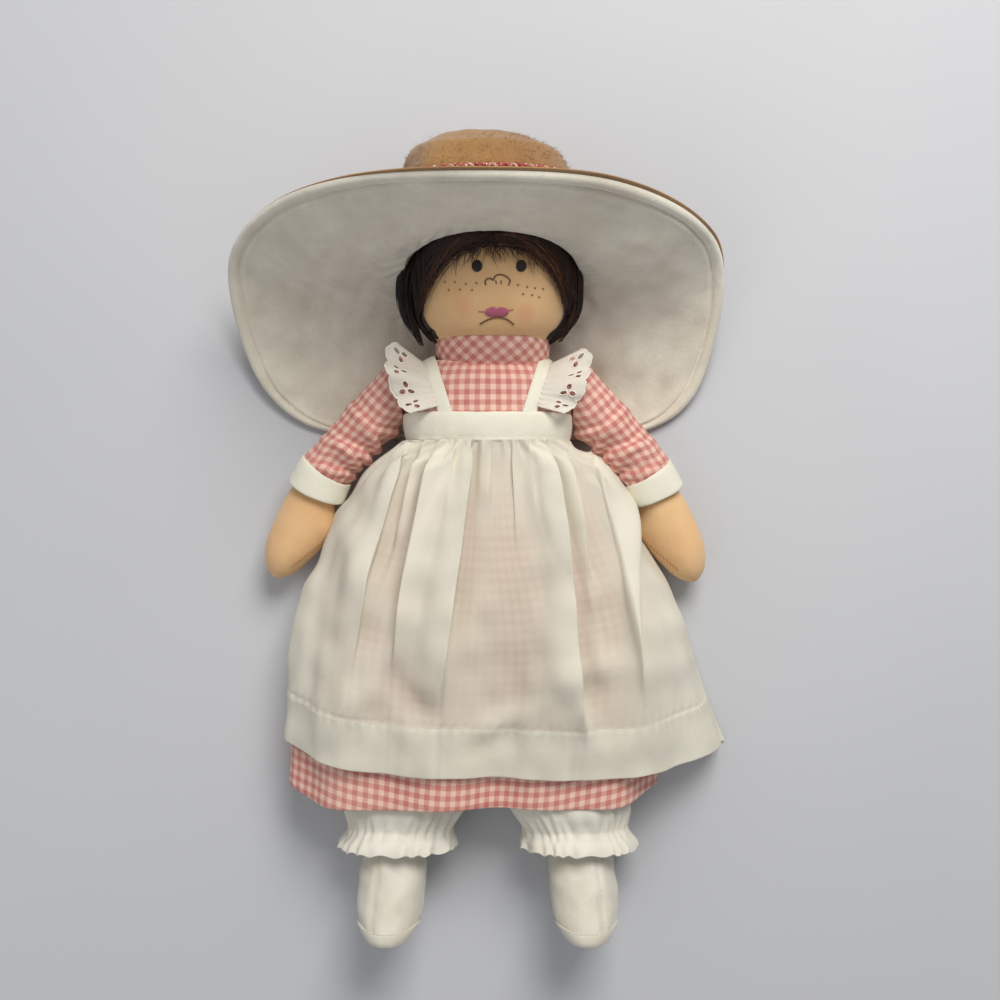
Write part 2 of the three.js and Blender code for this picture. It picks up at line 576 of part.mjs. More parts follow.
// Hat: crown, braid, and a brim of felt over flannel
const CROWN = [HEAD[0] - 1, HEAD_HALF[0] + HAIR + CROWN_ROOM, HEAD_HALF[2] + HAIR + CROWN_ROOM];
const opening = (a) => OPENING_Y + OPENING_TILT * Math.sin(a);
const DOME = HEAD[1] + 10; // the crown is upright below this height and rounds over above it
const dome = profile([
  [DOME, 1], [lerp(DOME, CROWN_TOP, 0.3), 0.99], [lerp(DOME, CROWN_TOP, 0.6), 0.94],
  [lerp(DOME, CROWN_TOP, 0.8), 0.8], [CROWN_TOP - 3, 0.52],
]);
const crownSection = (y, out) => {
  const size = dome(y)[0];
  const [half, deep] = [(CROWN[1] + out) * size, (CROWN[2] + out) * size];
  return { x: CROWN[0] - 4 * ease((y - DOME) / 50), half, mid: HEAD[2], deep, level: 0 };
};
function crownShape(out, drop) {
  const rise = (a, t) => lerp(opening(a) - drop, DOME, t);
  const wall = crownSection(DOME, out);
  const lower = [0, 0.5].map((t) => around(28).map((a) => onOval(wall, a, rise(a, t), 0)));
  const stops = [0, 0.3, 0.55, 0.75].map((t) => lerp(DOME, CROWN_TOP, t));
  const upper = [...stops, CROWN_TOP - 3].map((y) => ovalRing(crownSection(y, out), y + out, 0, 28));
  return loft([...lower, ...upper], undefined, point(CROWN[0] - 4, CROWN_TOP - 1.2 + out, HEAD[2]));
}
const crown = () => cut(crownShape(FELT, 0), crownShape(0, 8));
function band() {
  const rows = (out) => [-0.5, 0.5].map((t) => {
    const y = BAND_Y + t * BAND_WIDTH;
    return ovalRing(crownSection(y - FELT, FELT), y, out, 28);
  });
  return sheet(rows(GAP + 1), rows(GAP), true);
}
// Edge of the brim as it lies: [angle round the head opening, x, y, z]
const BRIM_EDGE = [
  [0, 114, 177, 34], [30, 97, 191, 66], [60, 55, 199, 108], [90, -3, 196.5, 137], [120, -64, 199, 110],
  [150, -103, 194, 70], [180, -125.5, 177, 34], [208, -125, 148, 16], [230, -113, 117, 6],
  [246, -89, 98, 2.4], [270, -4, 91, 1.7], [294, 82, 97, 2.4], [310, 103, 112, 5], [332, 115, 150, 17],
];
const edgeCurve = new THREE.CatmullRomCurve3(BRIM_EDGE.map(([, x, y, z]) => point(x, y, z)), true);
function brimPoint(t, u) {
  const place = t * BRIM_EDGE.length;
  const i = Math.floor(place) % BRIM_EDGE.length;
  const next = i + 1 < BRIM_EDGE.length ? BRIM_EDGE[i + 1][0] : 360;
  const a = degrees(lerp(BRIM_EDGE[i][0], next, place - Math.floor(place)));
  const wall = onOval(crownSection(DOME, FELT / 2), a, opening(a), 0);
  const down = ease(-Math.sin(a)); // the back of the brim runs straight down off the crown
  const rise = 0.1 * Math.max(0, Math.sin(a)) - 0.12 - down;
  const way = point(Math.cos(a) * (1 - 0.75 * down), rise, Math.sin(a) * (1 - 0.86 * down)).normalize();
  const start = wall.addScaledVector(way, 1.2);
  const edge = edgeCurve.getPoint(t);
  edge.z = Math.max(edge.z, FELT + 0.4);
  const bend = start.clone().addScaledVector(way, 0.5 * start.distanceTo(edge));
  bend.z = Math.max(bend.z, FELT + 0.4);
  return point(0, 0, 0)
    .addScaledVector(start, (1 - u) ** 2)
    .addScaledVector(bend, 2 * u * (1 - u))
    .addScaledVector(edge, u * u);
}
function brimNormal(t, u) {
  const step = 0.002;
  const along = brimPoint((t + step) % 1, u).sub(brimPoint((t - step + 1) % 1, u));
  const out = brimPoint(t, Math.min(1, u + step)).sub(brimPoint(t, Math.max(0, u - step)));
  return out.cross(along).normalize();
}
function brimLayer(from, to) {
  const rows = [0, 0.12, 0.32, 0.56, 0.8, 1];
  const grid = (out) =>
    rows.map((u) => range(36).map((i) => brimPoint(i / 36, u).addScaledVector(brimNormal(i / 36, u), out)));
  return sheet(grid(to), grid(from), true);
}

// Assembly
const paint = (color, roughness) => new THREE.MeshStandardMaterial({ color, roughness, metalness: 0 });
const CREAM = 0xe6e2cf;
const GINGHAM = 0xe3a3a0;
const WHITE = 0xdedac8;
const SKIN = 0xe7c193;
const TAN = 0xb18654;
const BROWN = 0x3a2417;

const group = new THREE.Group();
group.name = "rag_doll";
function add(name, geometry, color, roughness = 0.9) {
  const bare = new THREE.BufferGeometry();
  bare.setAttribute("position", geometry.getAttribute("position").clone());
  bare.setIndex(geometry.index.clone());
  const mesh = new THREE.Mesh(mergeVertices(bare, 1e-4), paint(color, roughness));
  mesh.geometry.computeVertexNormals();
  mesh.name = name;
  group.add(mesh);
}

const armholes = (grow) => [armhole(1, grow), armhole(-1, grow)];
const trunkSolid = loft(trunkStations.map((y) => ovalRing(trunkSection(y), y, 0, 26)));
add("torso", cut(trunkSolid, neckBall(TURN_ROOM), ...armholes(TURN_ROOM)), SKIN);
add("head", head(), SKIN);
add("hair_cap", hairCap(), BROWN, 0.6);
add("hair_fringe", fringe(), BROWN, 0.6);
const bodiceShell = tube(bodySection, bodiceStations, 0, -COTTON, 26);
add("dress_bodice", cut(bodiceShell, neckBall(TURN_ROOM), ...armholes(TURN_ROOM)), GINGHAM);
add("dress_collar", collar(), GINGHAM);
add("dress_skirt", sheet(skirtGrid(0), skirtGrid(-COTTON), true), GINGHAM);
add("apron_waistband", tube(bodySection, [...WAISTBAND], GAP + COTTON, GAP, 26), CREAM);
add("apron_skirt", sheet(apronGrid(COTTON), apronGrid(0), false), CREAM);
const seatStations = [-23.5, -10, 5, 20, 36, 50, SEAT_TOP];
add("bloomers_seat", tube(seatSection, seatStations, 0, -COTTON * 0.7, 26), WHITE);
add("bloomers_waist_elastic", tube(trunkSection, [SEAT_TOP - 7, SEAT_TOP - 1], GAP + 0.8, GAP, 26), WHITE);
add("hat_crown", crown(), TAN, 0.95);
add("hat_band", band(), 0xa8484a, 0.5);
add("hat_brim", brimLayer(-FELT - GAP / 2, -GAP / 2), TAN, 0.95);
add("hat_brim_lining", brimLayer(GAP / 2, GAP / 2 + LINING), CREAM, 0.95);
for (const [prefix, side] of [["left", 1], ["right", -1]]) {
  add(`${prefix}_hair_lock`, hairLock(side), BROWN, 0.6);
  add(`${prefix}_arm`, armSolid(side, 0), SKIN);
  add(`${prefix}_sleeve`, sleeve(side), GINGHAM);
  add(`${prefix}_cuff`, cuff(side), CREAM);
  add(`${prefix}_strap`, strap(side), CREAM);
  add(`${prefix}_ruffle`, ruffle(side), CREAM);
  add(`${prefix}_leg`, leg(side), WHITE, 0.6);
  add(`${prefix}_sole`, sole(side), WHITE, 0.6);
  add(`${prefix}_bloomer_leg`, bloomerLeg(side), WHITE);
  add(`${prefix}_leg_elastic`, legElastic(side), WHITE);
}

export default group;
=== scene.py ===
"""Looks of the rag doll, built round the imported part: cloth, stuffing, hair, embroidery and felt.

Shapes are worked out in millimetres in the part's own frame, and made into meshes in metres.
"""

import bpy
import numpy as np
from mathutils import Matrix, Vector
from mathutils.bvhtree import BVHTree
from mathutils.geometry import delaunay_2d_cdt


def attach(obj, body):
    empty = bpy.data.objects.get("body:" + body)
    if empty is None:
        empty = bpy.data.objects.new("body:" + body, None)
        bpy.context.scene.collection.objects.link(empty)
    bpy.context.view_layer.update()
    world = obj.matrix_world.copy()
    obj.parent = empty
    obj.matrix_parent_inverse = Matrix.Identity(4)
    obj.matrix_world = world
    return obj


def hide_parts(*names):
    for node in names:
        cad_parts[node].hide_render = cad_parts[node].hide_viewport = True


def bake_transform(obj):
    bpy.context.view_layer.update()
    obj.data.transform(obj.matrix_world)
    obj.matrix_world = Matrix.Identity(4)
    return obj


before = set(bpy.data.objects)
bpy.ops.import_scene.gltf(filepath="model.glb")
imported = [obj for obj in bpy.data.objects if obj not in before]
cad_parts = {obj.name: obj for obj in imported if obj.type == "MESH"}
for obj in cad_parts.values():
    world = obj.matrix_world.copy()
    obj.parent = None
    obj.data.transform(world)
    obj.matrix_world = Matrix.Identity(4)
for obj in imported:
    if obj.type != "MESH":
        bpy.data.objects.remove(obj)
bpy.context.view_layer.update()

MM = 0.001
TAU = 2 * np.pi
SIDES = {"left": 1, "right": -1}

# Sizes shared with the part, in millimetres
CHEST_HALF = 39.5
WAIST_Y = 88
WAISTBAND = (89, 102.5)
NECKLINE_Y = 131.5
NECKLINE_DIP = 3.4  # lower in front
HEM_HALF = 91
HEM_Y = -76
SHOULDER = np.array([40, 119, 30])
SLEEVE_HEAD = 12
NECK = np.array([2, 127, 28])
NECK_HALF = (26.2, 20)
HEAD = np.array([3, 180, 41])
HEAD_HALF = (37, 44, 31)
CROWN_TOP = 236.5
DOME_Y = HEAD[1] + 10
BRAID_Y = 212.0
ELASTIC_Y = -100
FRILL = 10
FULLNESS = 0.9

# The photograph's camera: straight above, its scale at the surface, and its height
CAMERA = np.array([6, 61, 700])
PIXEL = 0.51
IMAGE = 1000

rng = np.random.default_rng(7)


# Small numeric helpers

def ease(t):
    t = np.clip(t, 0, 1)
    return t * t * (3 - 2 * t)


def mix(a, b, t):
    return a + (b - a) * t


def power(v, p):
    return np.sign(v) * np.abs(v) ** p


def stack(x, y, z):
    return np.stack(np.broadcast_arrays(x, y, z), -1).astype(float)


def unit(v):
    return v / np.maximum(np.linalg.norm(v, axis=-1, keepdims=True), 1e-9)


def bell(d, width):
    return np.exp(-((d / width) ** 2))


def profile(rows):
    """A smooth function through rows of (station, values...)."""
    rows = np.array(sorted(map(tuple, rows)), float)
    s, v = rows[:, 0], rows[:, 1:]
    slope = np.gradient(v, s, axis=0)

    def at(x):
        x = np.clip(np.asarray(x, float), s[0], s[-1])
        i = np.clip(np.searchsorted(s, x, "right") - 1, 0, len(s) - 2)
        h = (s[i + 1] - s[i])[..., None]
        t = (x - s[i])[..., None] / h
        start = v[i] * (1 + 2 * t) * (1 - t) ** 2 + slope[i] * h * t * (1 - t) ** 2
        end = v[i + 1] * t * t * (3 - 2 * t) + slope[i + 1] * h * t * t * (t - 1)
        return start + end

    return at


def columns(values):
    return np.moveaxis(values, -1, 0)


def upright(rows):
    """The columns of a table, each one standing as a column of a grid."""
    return np.array(rows, float).T[..., None]


def turns(count):
    """Even angles round a ring, as one row of a grid."""
    return np.linspace(0, TAU, count, endpoint=False)[None, :]


def stations(*spans):
    """Places along a piece, as one column of a grid, from spans of (first, last, count)."""
    return np.concatenate([np.linspace(*span) for span in spans])[:, None]


def ring_grid(count, *spans):
    """Places along a piece and angles round it, as two grids."""
    return np.broadcast_arrays(stations(*spans), turns(count))


def looped(row):
    """A row of points that ends where it starts."""
    return np.concatenate([row, row[:1]])


def ripple(points, size, seed, count=7):
    """A smooth uneven wave over points, from -1 to 1, with bumps of about that size."""
    draw = np.random.default_rng(seed)
    total = 0
    for _ in range(count):
        way = unit(draw.normal(size=3)) * TAU / (size * draw.uniform(0.7, 1.6))
        total = total + np.sin(points @ way + draw.uniform(0, TAU))
    return total / count * 1.6


def normals(points, closed=False):
    """Unit normals of a grid of points."""
    along = np.gradient(points, axis=0)
    if closed:
        across = np.roll(points, -1, 1) - np.roll(points, 1, 1)
    else:
        across = np.gradient(points, axis=1)
    return unit(np.cross(along, across))


def outward(points, closed=False):
    """Normals of a grid that face away from the middle of each row."""
    n = normals(points, closed)
    spoke = points - points.mean(1, keepdims=True)
    return n * np.sign((n * spoke).sum())


def run_length(points, axis):
    step = np.linalg.norm(np.diff(points, axis=axis), axis=-1)
    return np.concatenate([np.zeros_like(np.take(step, [0], axis)), np.cumsum(step, axis)], axis)


def to_edge(points):
    """How far each point of a grid is from the last row, along its own column."""
    down = run_length(points, 0)
    return down[-1:] - down


def swell(points, height):
    """Moves the points of a closed grid out along its normals."""
    return points + outward(points, True) * height[..., None]


def keep_above(points, z):
    """Holds points off the surface that the doll lies on."""
    points[..., 2] = np.maximum(points[..., 2], z)


def even_angles(ring, count, first=0.0, last=TAU):
    """Angles at which the points of a ring lie evenly apart."""
    a = np.linspace(first, last, 2000)
    s = run_length(ring(a), 0)
    return np.interp(np.linspace(0, s[-1], count), s, a)


# Meshes

def mesh_object(name, points, faces, material, uv=None, face_material=None):
    mesh = bpy.data.meshes.new(name)
    mesh.from_pydata(np.asarray(points, float) * MM, [], faces)
    mesh.polygons.foreach_set("use_smooth", [True] * len(mesh.polygons))
    for m in material if isinstance(material, list) else [material]:
        mesh.materials.append(m)
    if face_material is not None:
        mesh.polygons.foreach_set("material_index", np.asarray(face_material, np.int32))
    if uv is not None:
        layer = mesh.uv_layers.new(name="cloth")
        layer.data.foreach_set("uv", np.asarray(uv, np.float32).ravel())
    obj = bpy.data.objects.new(name, mesh)
    bpy.context.scene.collection.objects.link(obj)
    return obj


def set_tone(obj, values):
    """Keeps one value for each point, which a material reads."""
    values = np.asarray(values, np.float32).ravel()
    obj.data.attributes.new("tone", "FLOAT", "POINT").data.foreach_set("value", values)


def grid_faces(rows, cols, closed):
    wrap = cols if closed else cols - 1
    r, c = np.meshgrid(np.arange(rows - 1), np.arange(wrap), indexing="ij")
    n = (c + 1) % cols
    quads = np.stack([r * cols + c, r * cols + n, (r + 1) * cols + n, (r + 1) * cols + c], -1)
    return quads.reshape(-1, 4), r.ravel(), c.ravel()


def grid_uv(points, closed):
    """Cloth coordinates in millimetres: across along the longest row, down along each column."""
    ring = np.concatenate([points, points[:, :1]], 1) if closed else points
    across = run_length(ring, 1)
    across = across[np.argmax(across[:, -1])]
    down = run_length(ring, 0)
    return np.stack(np.broadcast_arrays(across[None, :], down), -1)


def thicken(obj, thick):
    solid = obj.modifiers.new("thickness", "SOLIDIFY")
    solid.thickness = thick * MM
    solid.offset = 0


def cloth(name, points, material, closed=False, thick=0.5, bands=None, turn=0.0):
    """A sheet of cloth through a grid of points. bands picks each row's material, turn turns the weave."""
    faces, r, c = grid_faces(*points.shape[:2], closed)
    uv = grid_uv(points, closed)
    if turn:
        spin = np.array([[np.cos(turn), -np.sin(turn)], [np.sin(turn), np.cos(turn)]])
        uv = uv @ spin.T
    corners = np.stack([uv[r, c], uv[r, c + 1], uv[r + 1, c + 1], uv[r + 1, c]], 1)
    if (normals(points, closed) * outward(points, closed)).sum() > 0:
        faces, corners = faces[:, ::-1], corners[:, ::-1]
    index = None if bands is None else np.asarray(bands)[r]
    obj = mesh_object(name, points.reshape(-1, 3), faces.tolist(), material, corners, index)
    thicken(obj, thick)
    obj.modifiers.new("smooth", "SUBSURF").render_levels = 1
    return obj


def closed_form(name, rings, material):
    """A closed form through rings of points, with a fan to a tip at each end."""
    rows, cols = rings.shape[:2]
    quads, r, c = grid_faces(rows, cols, True)
    points = np.concatenate([rings.reshape(-1, 3), [rings[0].mean(0), rings[-1].mean(0)]])
    uv = grid_uv(rings, True)
    i = np.arange(cols)
    j = (i + 1) % cols
    tip = np.full(cols, rows * cols)
    foot = (rows - 1) * cols
    parts = [
        (quads, [uv[r, c], uv[r, c + 1], uv[r + 1, c + 1], uv[r + 1, c]]),
        (np.stack([tip, j, i], 1), [uv[0, i], uv[0, i + 1], uv[0, i]]),
        (np.stack([tip + 1, foot + i, foot + j], 1), [uv[-1, i], uv[-1, i], uv[-1, i + 1]]),
    ]
    sample = points[quads[:: max(1, len(quads) // 400)]] - points.mean(0)
    volume = (sample[:, 0] * np.cross(sample[:, 1], sample[:, 2])).sum()
    way = -1 if volume < 0 else 1
    faces = [face for part, _ in parts for face in part[:, ::way].tolist()]
    loops = [np.stack(corners, 1)[:, ::way].reshape(-1, 2) for _, corners in parts]
    return mesh_object(name, points, faces, material, np.concatenate(loops))


def tubes(name, paths, radii, material, sides=5, tone=None, closed=False, up=(0, 0, 1)):
    """Round threads along paths. radii and tone give one row for each path."""
    points, faces, tones = [], [], []
    base = 0
    i = np.arange(sides)
    spin = i * TAU / sides
    for k, path in enumerate(paths):
        path = np.asarray(path, float)
        count = len(path)
        ahead = np.roll(path, -1, 0) - np.roll(path, 1, 0) if closed else np.gradient(path, axis=0)
        along = unit(ahead)
        side = unit(np.cross(along, np.broadcast_to(up, along.shape)) + 1e-6)
        lift = np.cross(side, along)
        radius = np.broadcast_to(radii[k], (count,))[:, None, None]
        ring = side[:, None] * np.cos(spin)[:, None] + lift[:, None] * np.sin(spin)[:, None]
        points.append((path[:, None] + radius * ring).reshape(-1, 3))
        faces += (grid_faces(count, sides, True)[0] + base).tolist()
        tail = base + (count - 1) * sides
        if closed:
            j = (i + 1) % sides
            faces += np.stack([tail + i, tail + j, base + j, base + i], 1).tolist()
        else:
            faces += [(base + i)[::-1].tolist(), (tail + i).tolist()]
        tones += [0.5 if tone is None else tone[k]] * count * sides
        base += count * sides
    obj = mesh_object(name, np.concatenate(points), faces, material)
    set_tone(obj, tones)
    return obj


def stitch_paths(line, normal, pitch, length, sink=0.25, slant=0.0):
    """Single stitches along a line on cloth: each rises from the cloth and goes back in."""
    s = run_length(line, 0)
    starts = np.arange(pitch / 2, s[-1] - length, pitch)
    paths = []
    for start in starts:
        at = start + length * np.linspace(0, 1, 5)
        place = np.stack([np.interp(at, s, line[:, k]) for k in range(3)], 1)
        face = unit(np.stack([np.interp(at, s, normal[:, k]) for k in range(3)], 1))
        across = unit(np.cross(np.gradient(place, axis=0), face))
        height = sink * np.array([-1, 0.6, 1, 0.6, -1])
        paths.append(place + face * height[:, None] + across * (slant * np.linspace(-1, 1, 5))[:, None])
    return paths


def round_stitches(points, row, *stitch):
    """Stitches along one closed row of a grid."""
    return stitch_paths(looped(points[row]), looped(outward(points, True)[row]), *stitch)


def sew(name, lines, radius, body, material, sides=4):
    """Makes stitches into one piece that rides on a body."""
    sewn = tubes(name, lines, [radius] * len(lines), material, sides)
    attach(sewn, body)


def dress(obj, node, body=None):
    """Says which node a piece stands for, which it hides, and the body that it rides on."""
    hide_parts(node)
    if body is not None:
        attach(obj, body)


# Materials

def rgb(r, g, b):
    c = np.array([r, g, b]) / 255
    linear = np.where(c <= 0.04045, c / 12.92, ((c + 0.055) / 1.055) ** 2.4)
    return (*linear.tolist(), 1.0)


class Shader:
    """One material's node tree, with short ways to add nodes to it."""

    def __init__(self, name, roughness, **sockets):
        self.material = bpy.data.materials.new(name)
        self.material.use_nodes = True
        self.tree = self.material.node_tree
        self.base = self.tree.nodes["Principled BSDF"]
        self.base.inputs["Roughness"].default_value = roughness
        for key, value in sockets.items():
            self.base.inputs[key.replace("_", " ")].default_value = value

    def node(self, kind, inputs=(), **settings):
        made = self.tree.nodes.new("ShaderNode" + kind)
        for key, value in settings.items():
            setattr(made, key, value)
        for key, value in dict(inputs).items():
            if isinstance(value, bpy.types.NodeSocket):
                self.tree.links.new(value, made.inputs[key])
            else:
                made.inputs[key].default_value = value
        return made

    def coords(self, kind="UV"):
        return self.node("TexCoord").outputs[kind]

    def tone(self):
        """The value that set_tone keeps for each point."""
        return self.node("Attribute", attribute_name="tone").outputs["Fac"]

    def math(self, operation, a, b=0.0):
        return self.node("Math", {0: a, 1: b}, operation=operation).outputs[0]

    def blend(self, factor, a, b, mode="MIX"):
        return self.node("Mix", {0: factor, 6: a, 7: b}, data_type="RGBA", blend_type=mode).outputs[2]

    def noise(self, vector, scale, detail=2.0, rough=0.5):
        inputs = {"Vector": vector, "Scale": scale, "Detail": detail, "Roughness": rough}
        return self.node("TexNoise", inputs).outputs["Fac"]

    def band(self, value, period, low=0.4, high=0.6):
        """Soft stripes of a value, one to each period."""
        share = self.math("FRACT", self.math("DIVIDE", value, period))
        wave = self.math("ABSOLUTE", self.math("SUBTRACT", self.math("MULTIPLY", share, 2.0), 1.0))
        return self.spread(wave, low, high, kind="SMOOTHSTEP")

    def ribs(self, value, period):
        return self.math("SINE", self.math("MULTIPLY", value, TAU / period))

    def spread(self, value, low, high, to_low=0.0, to_high=1.0, kind="LINEAR"):
        """Maps low and high to to_low and to_high, and holds what is past them."""
        inputs = {"Value": value, "From Min": low, "From Max": high, "To Min": to_low, "To Max": to_high}
        return self.node("MapRange", inputs, interpolation_type=kind).outputs[0]

    def ramp(self, value, *stops):
        """Colour by a value, through stops of (place, colour)."""
        made = self.node("ValToRGB", {0: value})
        elements = made.color_ramp.elements
        for element, stop in zip(list(elements), (stops[0], stops[-1])):
            element.position, element.color = stop
        for place, colour in stops[1:-1]:
            elements.new(place).color = colour
        return made.outputs[0]

    def finish(self, colour, height=None, depth=0.1, strength=0.6, roughness=None):
        self.tree.links.new(colour, self.base.inputs["Base Color"])
        if roughness is not None:
            self.tree.links.new(roughness, self.base.inputs["Roughness"])
        if height is not None:
            bump = self.node("Bump", {"Height": height, "Strength": strength, "Distance": depth * MM})
            self.tree.links.new(bump.outputs[0], self.base.inputs["Normal"])
        return self.material


YARN = 0.42  # pitch of the cotton's weave


def split(shader, vector):
    parts = shader.node("SeparateXYZ", {0: vector})
    return parts.outputs


def weave(shader, u, v, pitch=YARN):
    """Height of a plain weave."""
    over = shader.math("MULTIPLY", shader.ribs(u, 2 * pitch), shader.ribs(v, 2 * pitch))
    fine = shader.math("ADD", shader.ribs(u, pitch), shader.ribs(v, pitch))
    return shader.math("ADD", over, shader.math("MULTIPLY", fine, 0.35))


def gingham(name, check=2.5):
    s = Shader(name, 0.85, Sheen_Weight=0.12)
    uv = s.coords()
    wobble = s.noise(uv, 0.35, 3)
    u, v, _ = split(s, uv)
    off = s.math("MULTIPLY", s.math("SUBTRACT", wobble, 0.5), 0.5)
    across = s.band(s.math("ADD", u, off), 2 * check)
    down = s.band(s.math("ADD", v, off), 2 * check)
    both = s.math("MULTIPLY", s.math("ADD", across, down), 0.5)
    slub = s.spread(s.noise(uv, 1.9, 3), 0.3, 0.7, -0.1, 0.1)
    level = s.math("ADD", both, slub)
    light, middle, dark = rgb(242, 204, 186), rgb(222, 158, 145), rgb(199, 119, 111)
    checks = s.ramp(level, (0.08, light), (0.5, middle), (0.95, dark))
    wear = s.spread(s.noise(uv, 0.03, 4), 0.35, 0.7)
    colour = s.blend(s.math("MULTIPLY", wear, 0.16), checks, rgb(246, 214, 196))
    return s.finish(colour, crumple(s, uv, weave(s, u, v), 7.0), 0.08, 0.5)


def crumple(shader, uv, height, size):
    """Adds the small soft wrinkles of handled cloth to a weave's height."""
    return shader.math("ADD", height, shader.math("MULTIPLY", shader.noise(uv, 0.11, 4, 0.55), size))


def cotton(name, colour, shade, alpha=1.0, clear=None, pitch=YARN, roughness=0.85, depth=0.08, crease=12.0):
    """Plain woven cotton, a little uneven. clear is the alpha where thin cotton lies on the cloth below."""
    s = Shader(name, roughness, Sheen_Weight=0.15, Alpha=alpha)
    uv = s.coords()
    u, v, _ = split(s, uv)
    height = crumple(s, uv, weave(s, u, v, pitch), crease)
    slub = s.spread(s.noise(uv, 1.4, 4), 0.3, 0.75)
    cloud = s.spread(s.noise(uv, 0.045, 3), 0.3, 0.7)
    tint = s.math("ADD", s.math("MULTIPLY", slub, 0.35), s.math("MULTIPLY", cloud, 0.45))
    if clear is not None:
        s.tree.links.new(s.spread(s.tone(), 0.0, 1.0, clear, alpha), s.base.inputs["Alpha"])
    return s.finish(s.blend(tint, colour, shade), height, depth, 0.5)


def sateen(name):
    s = Shader(name, 0.4, Sheen_Weight=0.3, Specular_IOR_Level=0.45)
    uv = s.coords()
    u, v, _ = split(s, uv)
    floats = s.ribs(s.math("ADD", u, s.math("MULTIPLY", v, 0.35)), 0.5)
    cloud = s.spread(s.noise(uv, 0.06, 4), 0.3, 0.7)
    crease = s.noise(uv, 0.22, 4, 0.6)
    height = s.math("ADD", s.math("MULTIPLY", floats, 0.15), s.math("MULTIPLY", crease, 2.0))
    colour = s.blend(cloud, rgb(226, 221, 208), rgb(212, 204, 186))
    return s.finish(colour, height, 0.25, 0.5, s.spread(crease, 0.3, 0.7, 0.34, 0.52))


def knit(name, blush=()):
    """Fine peach knit of head and hands. blush gives soft spots of colour: (place, radius)."""
    s = Shader(name, 0.8, Sheen_Weight=0.2, Subsurface_Weight=0.04)
    place = s.coords("Object")
    x, y, _ = split(s, place)
    wale = s.ribs(x, 0.55 * MM)
    course = s.ribs(y, 0.42 * MM)
    height = s.math("ADD", wale, s.math("MULTIPLY", course, 0.5))
    cloud = s.spread(s.noise(place, 60.0, 4), 0.3, 0.7)
    colour = s.blend(cloud, rgb(238, 196, 146), rgb(228, 182, 129))
    for spot, radius in blush:
        middle = tuple(np.array(spot) * MM)
        far = s.node("VectorMath", {0: place, 1: middle}, operation="DISTANCE").outputs["Value"]
        near = s.spread(far, 0.25 * radius * MM, radius * MM, 0.3, 0.0, "SMOOTHSTEP")
        colour = s.blend(near, colour, rgb(226, 140, 120))
    return s.finish(colour, height, 0.05, 0.4)


def felt(name, colour, shade, light, sheen=0.35, depth=0.35):
    """Matted fibres: uneven colour, a soft nap and stray lighter hairs."""
    s = Shader(name, 0.95, Sheen_Weight=sheen, Sheen_Roughness=0.6)
    place = s.coords("Object")
    nap = s.noise(place, 900.0, 5, 0.7)
    clump = s.noise(place, 220.0, 4, 0.6)
    cloud = s.noise(place, 38.0, 3)
    along_hairs = {"Vector": place, "Scale": (1400.0, 420.0, 700.0), "Rotation": (0.4, 0.7, 0.3)}
    stretched = s.node("Mapping", along_hairs)
    hairs = s.spread(s.noise(stretched.outputs[0], 1.0, 2), 0.62, 0.74)
    colour = s.blend(s.spread(cloud, 0.3, 0.7), colour, shade)
    colour = s.blend(s.spread(clump, 0.45, 0.75, 0.0, 0.5), colour, shade)
    colour = s.blend(s.math("MULTIPLY", hairs, 0.4), colour, light)
    height = s.math("ADD", nap, s.math("MULTIPLY", clump, 1.5))
    return s.finish(colour, height, depth, 0.7)


def hair(name):
    s = Shader(name, 0.42, Specular_IOR_Level=0.5)
    # Tone gives each strand's colour. The cap and the hair on the doll's right carry painted shade, and the
    # hair on its left carries painted light.
    tone = s.tone()
    place = s.coords("Object")
    streak = s.noise(place, 400.0, 4)
    level = s.math("ADD", tone, s.spread(streak, 0.3, 0.7, -0.12, 0.12))
    dark, brown, red, fair = rgb(18, 10, 7), rgb(52, 29, 18), rgb(104, 56, 30), rgb(168, 118, 76)
    colour = s.ramp(level, (0.0, dark), (0.45, brown), (0.75, red), (1.0, fair))
    return s.finish(colour, streak, 0.1, 0.4, s.spread(streak, 0.3, 0.7, 0.35, 0.55))


def thread(name, colour, shade, roughness=0.6):
    """Twisted thread, a little darker between its plies."""
    s = Shader(name, roughness, Sheen_Weight=0.2)
    place = s.coords("Object")
    ply = s.noise(place, 2600.0, 2)
    return s.finish(s.blend(s.spread(ply, 0.35, 0.65), colour, shade), ply, 0.08, 0.6)


def glitter(name):
    """Red and white braid with metal glints."""
    s = Shader(name, 0.38, Specular_IOR_Level=0.6)
    tone = s.tone()
    place = s.coords("Object")
    ply = s.noise(place, 1800.0, 2)
    cells = s.node("TexVoronoi", {"Vector": place, "Scale": 1500.0}).outputs["Color"]
    spark = s.spread(split(s, cells)[0], 0.84, 0.9)
    red = s.blend(s.spread(ply, 0.35, 0.65), rgb(190, 58, 66), rgb(128, 26, 38))
    white = s.blend(s.spread(ply, 0.35, 0.65), rgb(238, 220, 200), rgb(206, 176, 150))
    colour = s.blend(spark, s.blend(s.math("MULTIPLY", tone, 0.6), red, white), rgb(255, 240, 214))
    return s.finish(colour, ply, 0.15, 0.6, s.spread(spark, 0.0, 1.0, 0.5, 0.22))


